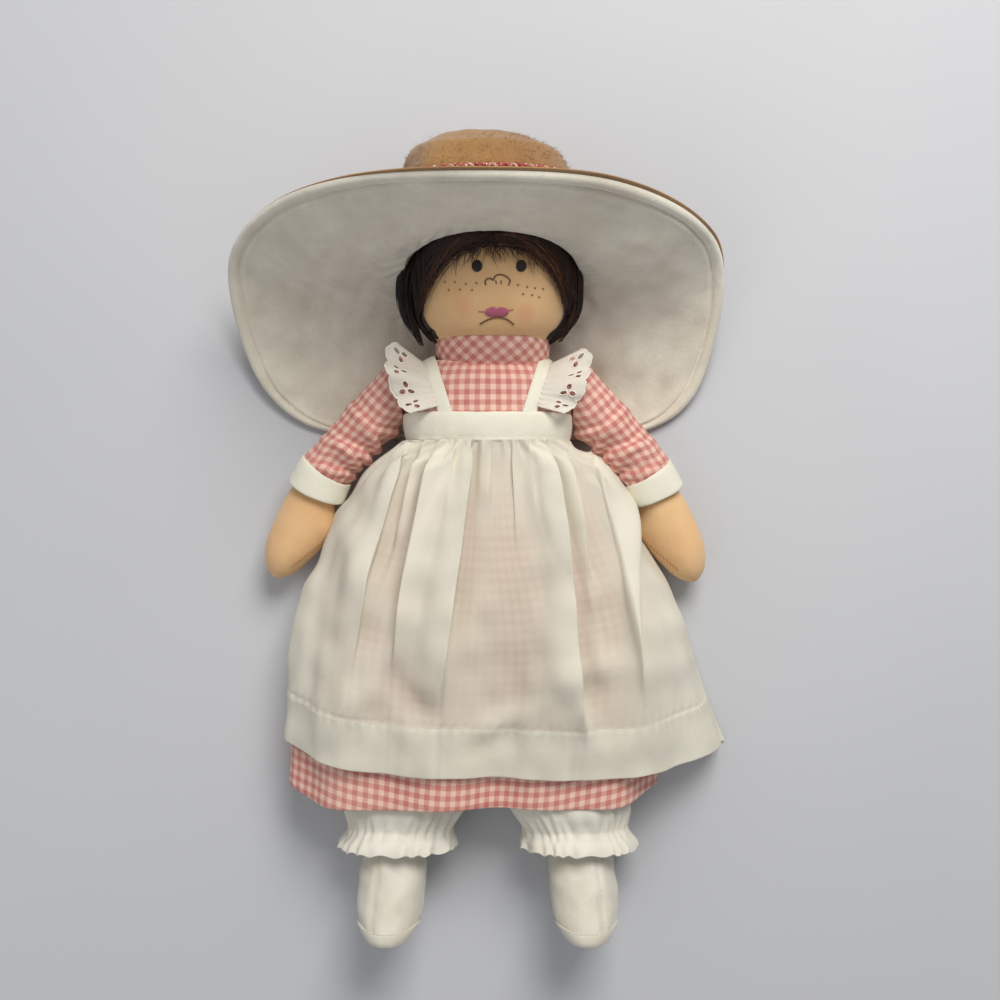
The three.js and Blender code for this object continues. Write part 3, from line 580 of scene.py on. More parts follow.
GINGHAM = gingham("gingham")
BAND_COTTON = cotton("apron_band_cotton", rgb(246, 243, 226), rgb(236, 231, 210))
SHEER = cotton("apron_sheer_cotton", rgb(254, 250, 234), rgb(246, 238, 220), alpha=0.8, clear=0.43,
               pitch=0.36, roughness=0.7, crease=6.0)
SHEER_HEM = cotton("apron_hem_cotton", rgb(242, 238, 222), rgb(231, 225, 206), alpha=0.82, pitch=0.36,
                   roughness=0.7)
BLOOMER = cotton("bloomer_cotton", rgb(242, 239, 226), rgb(228, 222, 205))
LACE = cotton("eyelet_lawn", rgb(244, 238, 226), rgb(230, 221, 207), alpha=0.9, pitch=0.34)
LACE_THREAD = thread("eyelet_thread", rgb(248, 244, 234), rgb(226, 217, 202))
WHITE_THREAD = thread("white_thread", rgb(244, 241, 228), rgb(214, 207, 188))
SATEEN = sateen("leg_sateen")
HAND_KNIT = knit("hand_knit")
HAND_THREAD = thread("hand_thread", rgb(206, 150, 98), rgb(160, 108, 64))
FELT = felt("hat_felt", rgb(170, 127, 72), rgb(144, 102, 54), rgb(206, 166, 110))
FLANNEL = felt("hat_flannel", rgb(238, 233, 218), rgb(216, 208, 190), rgb(246, 243, 232), sheen=0.5,
               depth=0.3)
HAIR = hair("wig_hair")
BROWN_THREAD = thread("brown_thread", rgb(128, 88, 48), rgb(88, 58, 30))
FRECKLE_THREAD = thread("freckle_thread", rgb(186, 134, 74), rgb(142, 98, 50))
BLACK_THREAD = thread("black_thread", rgb(34, 26, 24), rgb(14, 10, 9), roughness=0.4)
LIP_THREAD = thread("lip_thread", rgb(204, 108, 134), rgb(162, 80, 106), roughness=0.4)
BRAID = glitter("hat_braid")
ELASTIC = cotton("elastic_webbing", rgb(238, 234, 222), rgb(214, 208, 192), pitch=0.8, depth=0.2)


# Sections of the dressed body, square to Y

def oval(section, a, y, out=0.0):
    """A rounded ring: section gives middle X, half width, middle Z, half depth, lowest Z and fullness."""
    x, half, mid, deep, level, full = section
    px = x + (half + out) * power(np.cos(a), full)
    pz = np.maximum(mid + (deep + out) * power(np.sin(a), full), level - out)
    return stack(px, y, pz)


def between(x, half, back, front, level=0, full=FULLNESS):
    """Section of a form that lies between a back and a front."""
    return x, half, (back + front) / 2, (front - back) / 2, level, full


# Bodice: Y, half width, lift of the back, front
BODICE = profile([
    (WAIST_Y, 38.3, 0, 56), (100, CHEST_HALF, 0, 57), (112, CHEST_HALF, 0, 56), (120, 38, 1.6, 54),
    (126, 33.5, 6, 50), (130, 27.5, 11, 46), (NECKLINE_Y, 24, 14, 43),
])
BODY_BACK = 4.8


def body_section(y):
    half, lift, front = columns(BODICE(y))
    back = BODY_BACK + np.maximum(0, lift)
    return between(0, half, back, front, back + 0.6)


def body_angles(y, count):
    """Angles at which points lie evenly round the body at a height."""
    return even_angles(lambda a: oval(body_section(np.full_like(a, y)), a, y), count + 1)[:-1][None, :]


# Skirt: Y, middle X, half width, middle Z, half depth
SPREAD = profile([
    (HEM_Y - 14, -8, HEM_HALF - 1, 9, 40), (-40, -4.5, HEM_HALF, 10, 43), (0, -2.5, 89.4, 12, 45),
    (15, -2.5, 85.7, 13, 45), (32, -2.5, 77.8, 15, 44), (45, -2.5, 72.5, 17, 42),
    (60, -1.5, 65.2, 20, 38.5), (75, -1, 55.7, 25, 32), (WAIST_Y, 0, 38.3, 30.4, 25.6),
])
FOLD = 3  # depth of the folds at the hem
LEG_VALLEY = 11  # how far the skirt sinks between the legs at the hem


def back_level(y):
    """How far the skirt's back is off the surface: flat on it below, at the body above."""
    return BODY_BACK * ease((y - 50) / (WAIST_Y - 50))


def skirt(y, a, out):
    """A point of the spread skirt: wide at the surface, high over the legs, sunk between them."""
    x, half, mid, deep = columns(SPREAD(y))
    down = ease((WAIST_Y - y) / (WAIST_Y - HEM_Y))
    fold = 0.5 * FOLD * down * (1 - np.cos(9 * (a - np.radians(67)))) * ease((np.sin(a) + 0.35) * 1.5)
    full = mix(FULLNESS, 0.68, ease((WAIST_Y - y) / 110))
    level = back_level(y)
    p = oval((x, half, mid, deep, level, full), a, y, out + fold)
    keep_above(p, level - min(out, 0))
    sink = LEG_VALLEY * ease((25 - y) / 90) * ease((np.sin(a) - 0.3) * 2)
    p[..., 2] -= sink * bell(p[..., 0] - 4, 17)
    return p


def dress_hem(a):
    return HEM_Y - 11 * ease(np.sin(a) * 1.2)


def apron_hem(a):
    return HEM_Y + 19 - 5 * np.cos(a) - 14 * np.clip(np.sin(a), 0, 1)


# Dress

def armhole_cup(p):
    """Dents the bodice where a sleeve head sits in it."""
    for side in SIDES.values():
        d = p - SHOULDER * [side, 1, 1]
        room = (SLEEVE_HEAD + 0.7) ** 2 - d[..., 1] ** 2 - d[..., 2] ** 2
        inner = side * (SHOULDER[0] - np.sqrt(np.maximum(room, 0)))
        inside = (room > 0) & (side * p[..., 0] > side * inner)
        p[..., 0] = np.where(inside, inner, p[..., 0])
    return p


def neck_cup(p, room):
    """Dents the body where the neck sits in it."""
    half = np.array([NECK_HALF[0], NECK_HALF[1], NECK_HALF[1]]) + room
    off = (p - NECK) / half
    inside = np.linalg.norm(off, axis=-1) < 1
    return np.where(inside[..., None], NECK + unit(off) * half, p)


def make_bodice():
    """The bodice, shaped in at the armholes and the neck and puckered over the waist seam."""
    a = body_angles(105.0, 160)
    top = NECKLINE_Y - NECKLINE_DIP * ease(np.sin(a) * 1.6)
    y = mix(WAIST_Y - 1, top, stations((0, 1, 64)))
    p = oval(body_section(y), a, y, -0.5)
    p = swell(p, 0.35 * ripple(p, 26, 3) + 0.2 * ripple(p, 11, 4))
    p = swell(p, 0.45 * ripple(stack(p[..., 0] * 6, 0, p[..., 2] * 6), 22, 5) * bell(y - 101, 9))
    obj = cloth("bodice_cloth", armhole_cup(neck_cup(p, 0.9)), GINGHAM, True)
    dress(obj, "dress_bodice", "torso")


# Collar: Y, half width, front
COLLAR = profile([
    (122.8, 24.6, 46.5), (125, 25.8, 49.6), (128, 26.5, 52.2), (132, 26.9, 55.2), (136, 26.9, 58.2),
    (138, 26.4, 59.4),
])
# Rows of its cloth: Y, and how far each stands out; the last ones turn in over the top edge
COLLAR_ROWS = [
    (122.8, 0), (124, 0), (125.5, 0), (127.5, 0.2), (129.5, 0.35), (131.5, 0.4), (133.5, 0.4), (135.5, 0.3),
    (137, 0.2), (137.9, 0), (138.2, -0.6), (137.6, -1.2),
]


def make_collar():
    y, tuck = upright(COLLAR_ROWS)
    half, front = columns(COLLAR(y))
    back = 11 + 0.25 * (y - 125)
    section = between(NECK[0] + 0.5, half + tuck, back - tuck, front + tuck)
    p = oval(section, turns(150), y)
    p = swell(p, 0.3 * ripple(p, 10, 11) + 0.2 * ripple(p, 5, 12))
    obj = cloth("collar_cloth", p, GINGHAM, True, turn=np.radians(43))
    dress(obj, "dress_collar", "head")


def make_skirt():
    a = even_angles(lambda t: skirt(dress_hem(t), t, 0.0), 261)[:-1][None, :]
    u = stations((0, 0.2, 18), (0.22, 0.9, 46), (0.91, 1, 12))
    y = mix(WAIST_Y - 0.3, dress_hem(a), u)
    p = skirt(y, a, -1.6)
    gather = 0.5 * np.cos(46 * a + 2 * ripple(p, 40, 21)) * bell(u, 0.13)
    wave = 0.7 * ripple(p * [1, 0.35, 1], 30, 22) * ease(u * 2.5)
    edge = 0.35 * bell(u - 0.985, 0.02) - 0.25 * bell(u - 0.93, 0.006)
    p = swell(p, gather + wave + edge)
    flat = 0.4 + back_level(y)
    above = np.maximum(p[..., 2] - flat, 0)
    p[..., 2] = flat + above * ease((above - 1.2) / 2.4)
    obj = cloth("skirt_cloth", p, GINGHAM, True, thick=0.6)
    dress(obj, "dress_skirt")
    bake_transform(obj)


# Apron

APRON = (np.radians(-8), np.radians(184))
APRON_FLARE = 34
APRON_ROOM = 2.4  # how far the apron stands off the skirt, and may sink towards it
HEM_DEPTH = 24.5
# Folds seen in the photograph: X at the waistband and at the hem, height, width, where they fade out.
# A minus width turns the steep side of the fold towards the doll's right.
PLEATS = [
    (-7.5, -27, 8.4, 5.0, 0.85), (25, 47, 7.2, 5.0, 0.98), (-20, -52, 6.6, -4.5, 0.75),
    (46, 84, 4.8, -7.0, 0.9), (-35, -76, 5.4, 5.0, 0.8), (12, 16, 2.64, -3.5, 0.4),
    (-14, -34, 2.4, 3.0, 0.35), (34, 60, 3.6, 4.0, 0.55), (18, 30, 2.4, 3.0, 0.3),
    (-28, -66, 2.88, -3.5, 0.45), (2, -4, 2.16, 3.0, 0.3), (64, 74, 2.88, 5.0, 0.95),
]
# Long hollows between the folds: X, half width, where they start and fade out, depth
HOLLOWS = [(9, 13, 0.0, 0.6, 2.4), (-48, 12, 0.35, 0.9, 1.6), (62, 12, 0.3, 0.85, 1.6)]
# Soft bulges: X, Y, turn of the long way from Y, half length, half width, height
PUFFS = [
    (-17, -8, 8, 24, 9, 4.5), (51, -18, 70, 17, 9, 4.5), (-49, 13, -20, 20, 12, 3.5),
    (44, -40, -28, 20, 5, 4.0), (-60, -28, 35, 22, 10, 3.5), (70, 0, -10, 26, 5, 3.0),
    (12, -6, 0, 34, 8, -3.0), (30, 22, 20, 20, 8, -2.2), (-34, -34, -50, 20, 7, -2.4),
    (6, -44, 65, 22, 6, 2.6), (-62, 34, -24, 24, 8, 3.0), (60, 30, 24, 24, 8, 2.6),
]


def apron_point(a, u, out):
    v = (a - APRON[0]) / (APRON[1] - APRON[0])
    y = mix(WAISTBAND[0] + 0.5, apron_hem(a), u)
    p = skirt(np.minimum(y, WAIST_Y), a, out)
    p[..., 1] = y
    p[..., 0] += APRON_FLARE * u ** 2.4 * (1 - v) ** 5
    return p


def pleat(d, width):
    """Height and sideways roll of a fold: a slow rise, a lip that leans over, and a hollow beside it."""
    way = np.sign(width)
    d = d * way
    width = np.abs(width)
    high = bell(np.minimum(d, 0), 2.2 * width) * bell(np.maximum(d, 0), 0.55 * width)
    roll = 0.55 * bell(d + 0.3 * width, 0.9 * width) - 0.7 * bell(d - 0.9 * width, 0.55 * width)
    return high - 0.45 * bell(d - 1.6 * width, width), roll * way


def apron_folds(p, u):
    """Height and sideways roll that the pleats, hollows and puffs give the apron."""
    x, y = p[..., 0], p[..., 1]
    height = np.zeros_like(x)
    roll = np.zeros_like(x)
    sway = 4.0 * ripple(p * [0.3, 1, 0.3], 70, 34)
    for top, foot, high, width, fade in PLEATS:
        line = mix(top, foot, u ** 0.8) + sway * u
        strength = high * (1 - ease((u - fade + 0.35) / 0.35)) * (0.45 + 0.55 * ease(u / 0.1))
        rise, over = pleat(x - line, width * (0.4 + 0.9 * u))
        height = height + strength * rise
        roll = roll + strength * over
    for middle, wide, first, last, deep in HOLLOWS:
        shown = ease((u - first + 0.1) / 0.2) * (1 - ease((u - last + 0.3) / 0.3))
        height = height - deep * bell(x - middle, wide) * shown
    for px, py, turn, long, wide, high in PUFFS:
        c, d = np.cos(np.radians(turn)), np.sin(np.radians(turn))
        along = (y - py) * c + (x - px) * d
        across = (x - px) * c - (y - py) * d
        height = height + high * bell(along, long) * bell(across, wide)
    return height, roll * ease(u / 0.05)


def make_apron():
    a = even_angles(lambda t: apron_point(t, 1.0, 1.4), 300, *APRON)[None, :]
    u = stations((0, 0.16, 26), (0.17, 1, 96))
    p = apron_point(a, u, APRON_ROOM)
    n = outward(p)
    height, roll = apron_folds(p, u)
    gather = 0.6 * np.cos(54 * a + 4 * ripple(p, 30, 31)) * bell(u - 0.015, 0.04)
    gather = gather + 1.3 * np.cos(27 * a + 3 * ripple(p, 40, 35)) * bell(u - 0.06, 0.08)
    soft = (1.2 * ripple(p * [1, 0.45, 1], 30, 32) + 0.8 * ripple(p * [1, 0.7, 1], 14, 33)) * ease(u * 3)
    lift = height + gather + soft
    lift = np.where(lift < 0, -APRON_ROOM * np.tanh(-lift / APRON_ROOM), lift)
    p = p + n * lift[..., None]
    p[..., 0] += roll
    keep_above(p, 0.6)
    left = to_edge(p)
    across = run_length(p, 1)
    pucker = 0.3 * np.sin(across * TAU / 5.5 + 2 * ripple(p, 20, 36)) * bell(left - HEM_DEPTH, 3)
    crease = pucker - 0.5 * bell(left - HEM_DEPTH, 0.8) + 0.25 * (left < HEM_DEPTH)
    p = p + n * crease[..., None]
    bands = np.append((left.mean(1) < HEM_DEPTH).astype(int)[:-1], 1)
    obj = cloth("apron_cloth", p, [SHEER, SHEER_HEM], thick=0.35, bands=bands)
    beside = ease((np.abs(p[..., 0]) - 66) / 24)
    away = 0.2 + 0.11 * (height + gather) + 0.5 * bell(u - 0.05, 0.18) + 0.6 * beside
    set_tone(obj, np.clip(away, 0, 1))
    dress(obj, "apron_skirt")
    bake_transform(obj)
    row = int(np.argmin(np.abs(left.mean(1) - HEM_DEPTH + 1.2)))
    lines = stitch_paths(p[row], n[row], 2.2, 1.3, 0.3)
    sewn = tubes("apron_hem_stitching", lines, [0.16] * len(lines), WHITE_THREAD, 4)
    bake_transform(sewn)


# Rows of the waistband's cloth, from the top's inside to the foot's: Y, and how far each stands out
WAISTBAND_ROWS = [
    (102.0, 0.2), (102.5, 0.8), (102.2, 1.35), (100, 1.65), (96, 1.75), (91.5, 1.55), (90.6, 1.15),
    (89.7, 1.45), (88.9, 1.1), (88.9, 0.3),
]
WAISTBAND_SEAM = 6  # the row that is stitched


def make_waistband():
    y, out = upright(WAISTBAND_ROWS)
    p = oval(body_section(np.maximum(y, WAIST_Y)), body_angles(96.0, 180), y, out)
    p[..., 1] += 0.35 * ripple(p * [1, 0, 1], 45, 41)
    p = swell(p, 0.22 * ripple(p, 9, 42))
    obj = cloth("waistband_cloth", p, BAND_COTTON, True, thick=0.45)
    dress(obj, "apron_waistband", "torso")
    lines = round_stitches(p, WAISTBAND_SEAM, 2.4, 1.5, 0.22)
    sew("waistband_stitching", lines, 0.17, "torso", WHITE_THREAD)


STRAP_FOOT = 19.5  # X where the strap leaves the waistband
STRAP_HEAD = 29.5  # X at the shoulder
STRAP_WIDTH = 6.5
STRAP_START = WAISTBAND[1] - 1.5
STRAP_END = 135
# Across the strap: place, and height over the bodice
STRAP_ROWS = [
    (-3.0, 0.35), (-3.25, 0.75), (-2.9, 1.05), (-1.5, 1.2), (0, 1.25), (1.5, 1.2), (2.9, 1.05), (3.25, 0.75),
    (3.0, 0.35),
]
STRAP_SEAMS = (2, 6)


def strap_x(y):
    return mix(STRAP_FOOT, STRAP_HEAD, (y - WAISTBAND[1]) / (STRAP_END - WAISTBAND[1]))


def strap_point(side, t, w, out):
    """t runs 0 to 1 up the front, over the shoulder at 0.5, and down the back; w is across the strap."""
    t, w = np.broadcast_arrays(np.asarray(t, float), np.asarray(w, float))
    ys = np.linspace(STRAP_START, NECKLINE_Y, 400)
    half = body_section(ys)[1]
    gap = half - strap_x(ys)
    top = np.interp(w, gap[::-1], ys[::-1])
    climb = 1 - np.abs(2 * t - 1)
    y = mix(STRAP_START, top, np.sin(climb * np.pi / 2))
    section = body_section(y)
    x = np.minimum(strap_x(y) + w, section[1])
    c = np.clip(x / section[1], 0, 1) ** (1 / FULLNESS)
    a = np.arccos(np.clip(c, 0, 1)) * np.where(t <= 0.5, 1, -1)
    p = oval(section, a, y, out)
    return p * [side, 1, 1]


def make_strap(prefix, side):
    w, out = np.array(STRAP_ROWS).T[:, None]
    p = strap_point(side, stations((0, 1, 90)), w, out)
    p[..., 2] += 0.2 * ripple(p, 12, 51 + side)
    obj = cloth(f"{prefix}_strap_cloth", p, BAND_COTTON, thick=0.4)
    dress(obj, f"{prefix}_strap", "torso")
    n = outward(p)
    lines = []
    for seam in STRAP_SEAMS:
        lines += stitch_paths(p[:, seam], n[:, seam], 2.2, 1.3, 0.2)
    sew(f"{prefix}_strap_stitching", lines, 0.15, "torso", WHITE_THREAD)


# Eyelet ruffles, cut flat with their holes and then set on the strap

LACE_LENGTH = 46
LACE_WIDTH = 23
LACE_STEP = 1.3  # between points inside the lace
SCALLOPS = 4


def lace_edge(s):
    """How far out the lace reaches at a place along the strap."""
    u = s / LACE_LENGTH
    bump = np.abs(np.sin(np.pi * SCALLOPS * u)) ** 0.7
    small = 0.45 * np.abs(np.sin(3 * np.pi * SCALLOPS * u))
    reach = np.interp(u, [0, 0.12, 0.5, 0.85, 1], [0.56, 0.68, 0.86, 0.9, 0.7])
    return LACE_WIDTH * reach + 2.0 * bump + small


def lace_point(side, s, w, rise=0.0):
    """A flat point of the lace, s along the strap and w out from it, as it lies on the shoulder."""
    u = s / LACE_LENGTH
    y = mix(WAISTBAND[1] + 2.5, 126, u)
    root = strap_x(y) + STRAP_WIDTH / 2 - 0.4
    fan = np.radians(mix(-16, 33 if side < 0 else 21, u))
    section = body_section(y)
    c = np.clip(root / section[1], 0, 1) ** (1 / FULLNESS)
    base = section[2] + (section[3] + 0.6) * np.sqrt(1 - c * c) ** FULLNESS
    share = w / LACE_WIDTH
    fold = 3.0 * share * np.cos(TAU * 1.7 * u + 0.9 + 0.6 * side) + 0.25 * share * np.cos(TAU * 6 * u)
    gather = 0.3 * np.cos(TAU * 9 * u + side) * bell(share, 0.25)
    z = base + 0.7 + 0.3 * w - 4.5 * share ** 2 + fold + gather + rise
    curl = 1.2 * share * np.sin(TAU * 2.2 * u + 0.6)
    x = root + w * np.cos(fan) * 0.96
    return stack(side * x, y + w * np.sin(fan) + curl, z)


def eyelets():
    """Centre, half sizes and turn of each hole: three petals to a flower, one flower to a scallop."""
    holes = []
    for k in range(SCALLOPS):
        s = LACE_LENGTH * (k + 0.5) / SCALLOPS
        w = lace_edge(s) - 7.0 - 0.8 * (k % 2)
        for turn in (90, 210, 330):
            a = np.radians(turn + 31 * k)
            holes.append((s + 2.5 * np.cos(a), w + 2.5 * np.sin(a), 1.75, 1.3, a))
    return holes


def hole_ring(hole, grow, count):
    s, w, long, wide, turn = hole
    a = np.arange(count) * TAU / count
    x, y = (long + grow) * np.cos(a), (wide + grow) * np.sin(a)
    return np.stack([s + x * np.cos(turn) - y * np.sin(turn), w + x * np.sin(turn) + y * np.cos(turn)], 1)


def in_hole(hole, point):
    s, w, long, wide, turn = hole
    d = point - [s, w]
    x = d[0] * np.cos(turn) + d[1] * np.sin(turn)
    y = d[1] * np.cos(turn) - d[0] * np.sin(turn)
    return (x / long) ** 2 + (y / wide) ** 2 < 0.98


def lace_pattern():
    """The flat lace: its points, its faces without the holes, and its free edge."""
    holes = eyelets()
    s = np.linspace(0, LACE_LENGTH, 140)
    edge = np.stack([s, lace_edge(s)], 1)
    root = np.stack([s[::-3], np.zeros(len(s[::-3]))], 1)
    loops = [np.concatenate([edge, root])] + [hole_ring(hole, 0, 14) for hole in holes]
    along = np.arange(1, LACE_LENGTH, LACE_STEP)
    across = np.arange(1, LACE_WIDTH + 2, LACE_STEP)
    grid = np.stack(np.meshgrid(along, across), -1).reshape(-1, 2)
    grid = grid[grid[:, 1] < lace_edge(grid[:, 0]) - 0.7]
    for hole in holes:
        far = np.abs(grid[:, None] - hole_ring(hole, 0.3, 14)[None]).max(-1).min(1)
        grid = grid[far > 0.5]
    points, edges = [], []
    for loop in loops:
        base = len(points)
        points += loop.tolist()
        edges += [(base + i, base + (i + 1) % len(loop)) for i in range(len(loop))]
    points += grid.tolist()
    flat, _, faces, *_ = delaunay_2d_cdt([Vector(p) for p in points], edges, [], 1, 1e-5)
    flat = np.array([tuple(p) for p in flat])
    kept = []
    for face in faces:
        middle = flat[list(face)].mean(0)
        if not any(in_hole(hole, middle) for hole in holes):
            kept.append(list(face))
    return flat, kept, edge


def make_ruffle(prefix, side):
    flat, faces, edge = lace_pattern()
    if side < 0:
        faces = [f[::-1] for f in faces]
    points = lace_point(side, flat[:, 0], flat[:, 1])
    uv = np.concatenate([flat[f] for f in faces])
    obj = mesh_object(f"{prefix}_ruffle_lace", points, faces, LACE, uv)
    thicken(obj, 0.3)
    dress(obj, f"{prefix}_ruffle")
    rings = [hole_ring(hole, 0.25, 18) for hole in eyelets()]
    paths = [lace_point(side, r[:, 0], r[:, 1], 0.1) for r in rings]
    sewn = tubes(f"{prefix}_ruffle_eyelets", paths, [0.38] * len(paths), LACE_THREAD, 5, closed=True)
    rim_path = lace_point(side, edge[:, 0], edge[:, 1])
    rim = tubes(f"{prefix}_ruffle_edge", [rim_path], [0.45], LACE_THREAD, 6)
    for piece in (obj, sewn, rim):
        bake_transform(piece)


# Arms, sleeves and cuffs

# Middle line of the left arm from its shoulder
ARM_PATH = np.array([
    (0, 0, 0), (20, -23, -4), (40, -44, -8), (46.5, -57, -11.5), (53, -72, -15), (59, -84, -15.4),
    (63, -92, -15.4),
])
ARM_SPREAD = {1: 0.94, -1: 1.0}  # how wide each arm lies
# Place along the arm, radius
SLEEVE_RADIUS = profile([
    (-11.6, 2.6), (-10, 6.6), (-7, 9.7), (-3, 11.6), (0, 12), (6, 12.1), (12, 12.4), (17, 13), (36, 13.4),
    (50, 12.8), (57, 12.5), (80, 12.5),
])
ARM_RADIUS = profile([
    (-9, 4), (0, 9.6), (14, 9.4), (20, 10.2), (57, 10.2), (70, 11), (78, 13), (88, 14.2), (98, 14),
    (106, 12.8), (112, 10.6), (116.5, 7.4), (119, 4), (120, 1.5),
])
# Creases of the sleeve: place along the arm, slope round it, depth, width
ELBOW_CREASES = [
    (21, 3, 1.2, 1.5), (30, -4, 2.0, 1.5), (37, 4, 2.4, 1.4), (44, -3, 1.6, 1.5), (51, 2, 1.1, 1.3),
]
# Rows of the cuff's cloth, turned back over the sleeve: place along the arm, and how far each stands out
CUFF_ROWS = [
    (59.2, 0.45), (58.6, 0.8), (58.8, 1.2), (61, 1.45), (65, 1.8), (69.2, 2.15), (70.6, 2.25), (71.1, 1.9),
    (70.8, 1.4), (68, 0.8), (64, 0.5),
]


class Limb:
    """The bent line of an arm, with the directions across and up at each place."""

    def __init__(self, side):
        path = (SHOULDER + ARM_PATH * [ARM_SPREAD[side], 1, 1]) * [side, 1, 1]
        s = run_length(path, 0)
        self.curve = profile(np.column_stack([s, path]))
        self.length = s[-1]
        self.side = side

    def frame(self, s):
        s = np.asarray(s, float)
        inside = np.clip(s, 0, self.length)
        ahead = self.curve(np.clip(inside + 0.5, 0, self.length))
        along = unit(ahead - self.curve(np.clip(inside - 0.5, 0, self.length)))
        centre = self.curve(inside) + along * (s - inside)[..., None]
        across = self.side * unit(np.cross(along, [0, 0, 1]))
        return centre, across, self.side * np.cross(across, along)

    def point(self, s, a, radius):
        centre, across, up = self.frame(s)
        return centre + (radius * np.cos(a))[..., None] * across + (radius * np.sin(a))[..., None] * up


def beside_body(p, side, room):
    """Presses what lies beside the body flat against the air next to it."""
    edge = CHEST_HALF + 2.0 + room
    away = np.linalg.norm(p - SHOULDER * [side, 1, 1], axis=-1) > SLEEVE_HEAD + 0.6
    x = np.where(away, np.maximum(side * p[..., 0], edge), side * p[..., 0])
    return stack(side * x, p[..., 1], p[..., 2])


def make_sleeve(prefix, side):
    limb = Limb(side)
    s, a = ring_grid(128, (-11.5, 4, 16), (5, 69, 90))
    radius = columns(SLEEVE_RADIUS(s))[0]
    inner = 0.5 + 0.5 * np.cos(a)
    creases = 0
    for at, slope, deep, width in ELBOW_CREASES:
        d = s - at - slope * (1 - np.cos(a)) + 1.5 * np.sin(2 * a + at)
        step = deep * bell(np.minimum(d, 0), 4 * width) * bell(np.maximum(d, 0), 0.6 * width)
        bulge = 0.9 * deep * bell(d - 2.2 * width, 1.6 * width)
        creases = creases + step * (0.25 + 0.75 * inner) - bulge * inner
    p = limb.point(s, a, radius)
    soft = 0.75 * ripple(p, 19, 61 + side) + 0.45 * ripple(p, 8, 63 + side)
    gather = 0.3 * np.cos(22 * a + 2 * ripple(p, 14, 65)) * bell(s - 57, 5)
    p = limb.point(s, a, radius - creases + (soft + gather) * ease((s - 8) / 14))
    obj = cloth(f"{prefix}_sleeve_cloth", beside_body(p, side, 0), GINGHAM, True)
    dress(obj, f"{prefix}_sleeve", f"{prefix}_arm")


def make_cuff(prefix, side):
    s, out, a = np.broadcast_arrays(*upright(CUFF_ROWS), turns(112))
    p = Limb(side).point(s, a, columns(SLEEVE_RADIUS(s))[0] + out)
    p = swell(p, 0.35 * ripple(p, 15, 71 + side))
    obj = cloth(f"{prefix}_cuff_cloth", p, BAND_COTTON, True, thick=0.4)
    dress(obj, f"{prefix}_cuff", f"{prefix}_arm")


PADDED = []


def stuffed(name, rings, material, node, body, cap, fill):
    """A stuffed piece. cap is how far stuffing may move a point, in millimetres; fill, how full it is, is not
    used.
    """
    obj = closed_form(name, rings, material)
    dress(obj, node)
    PADDED.append((obj, body, cap, fill))
    return obj


def make_arm(prefix, side):
    s, a = ring_grid(56, (-9, 66, 26), (69, 119.5, 34))
    radius = columns(ARM_RADIUS(s))[0]
    inner = np.clip(np.cos(a), 0, 1)
    thumb = 2.0 * bell(s - 85, 7) * inner ** 2
    tip = 2.6 * ease((s - 92) / 18) * inner
    p = beside_body(Limb(side).point(s, a, radius + thumb - tip - 0.4), side, 1.9)
    keep_above(p, 1.0)
    name = f"{prefix}_arm"
    stuffed(f"{name}_stuffed", p, HAND_KNIT, name, name, 1.0, 0.7)


# Legs, soles and bloomers

# Leg and foot: Y, middle X, half width, back, front
LEG_ROWS = profile([
    (-1.5, 20, 15, 19.6, 22.4), (-10, 22, 17, 12.6, 29.4), (-20, 24.5, 17, 4, 37.4),
    (-40, 29.2, 17, 3.8, 37.8), (-75, 37.3, 17, 3.8, 37.3), (-100, 43, 16.2, 3.8, 35.8),
    (-112, 45.5, 16, 2.6, 36.8), (-124, 46.7, 16.6, 1.4, 43), (-135, 47.5, 16.6, 1, 50.5),
    (-140, 47.8, 15.6, 1.6, 53), (-144, 48, 13.6, 2.4, 53.6),
])
# The sole's turned-up edge: share of the turn, how far each row stands out; then its rings: size, drop
SOLE_EDGE = [(1.0, -0.1), (0.97, 0.55), (0.7, 0.6), (0.4, 0.55), (0.1, 0.4)]
SOLE_RINGS = [(0.995, 0.5), (0.99, 1.0), (0.95, 2.0), (0.86, 3.0), (0.66, 3.9), (0.4, 4.4), (0.15, 4.6)]
SOLE_Y = -144
SOLE_TURN = 5.0  # how far the sole comes up round the toe
LEG_TURN = np.radians(24)  # the front seam of each leg is turned out by this much


def leg_section(y, side):
    x, half, back, front = columns(LEG_ROWS(y))
    return between(side * x, half, back, front, back + 0.3)


def lean(p, y, mid):
    """Tilts the foot, so that its toe lies further from the head than its heel."""
    p[..., 1] -= 0.2 * ease((-112 - y) / 30) * (p[..., 2] - mid)
    return p


def make_leg(prefix, side):
    y, a = ring_grid(60, (-1.5, -98, 30), (-100, SOLE_Y, 34))
    seam = np.pi / 2 - side * LEG_TURN
    away = np.abs(np.angle(np.exp(1j * (a - seam)))) * 16
    seam_line = (0.9 * bell(away, 5) - 1.3 * bell(away, 1.2)) * ease((-60 - y) / 30)
    section = leg_section(y, side)
    p = oval(section, a, y, -0.35 + seam_line)
    creases = 0.5 * ripple(p * [1, 1.6, 1], 15, 75 + side)
    creases = creases + 0.5 * ripple(p * [0.6, 2.2, 0.6], 16, 77 + side) * bell(y + 118, 14)
    p = lean(swell(p, creases * ease((-90 - y) / 15)), y, section[2])
    name = f"{prefix}_leg"
    stuffed(f"{name}_stuffed", p, SATEEN, name, name, 0.9, 0.75)


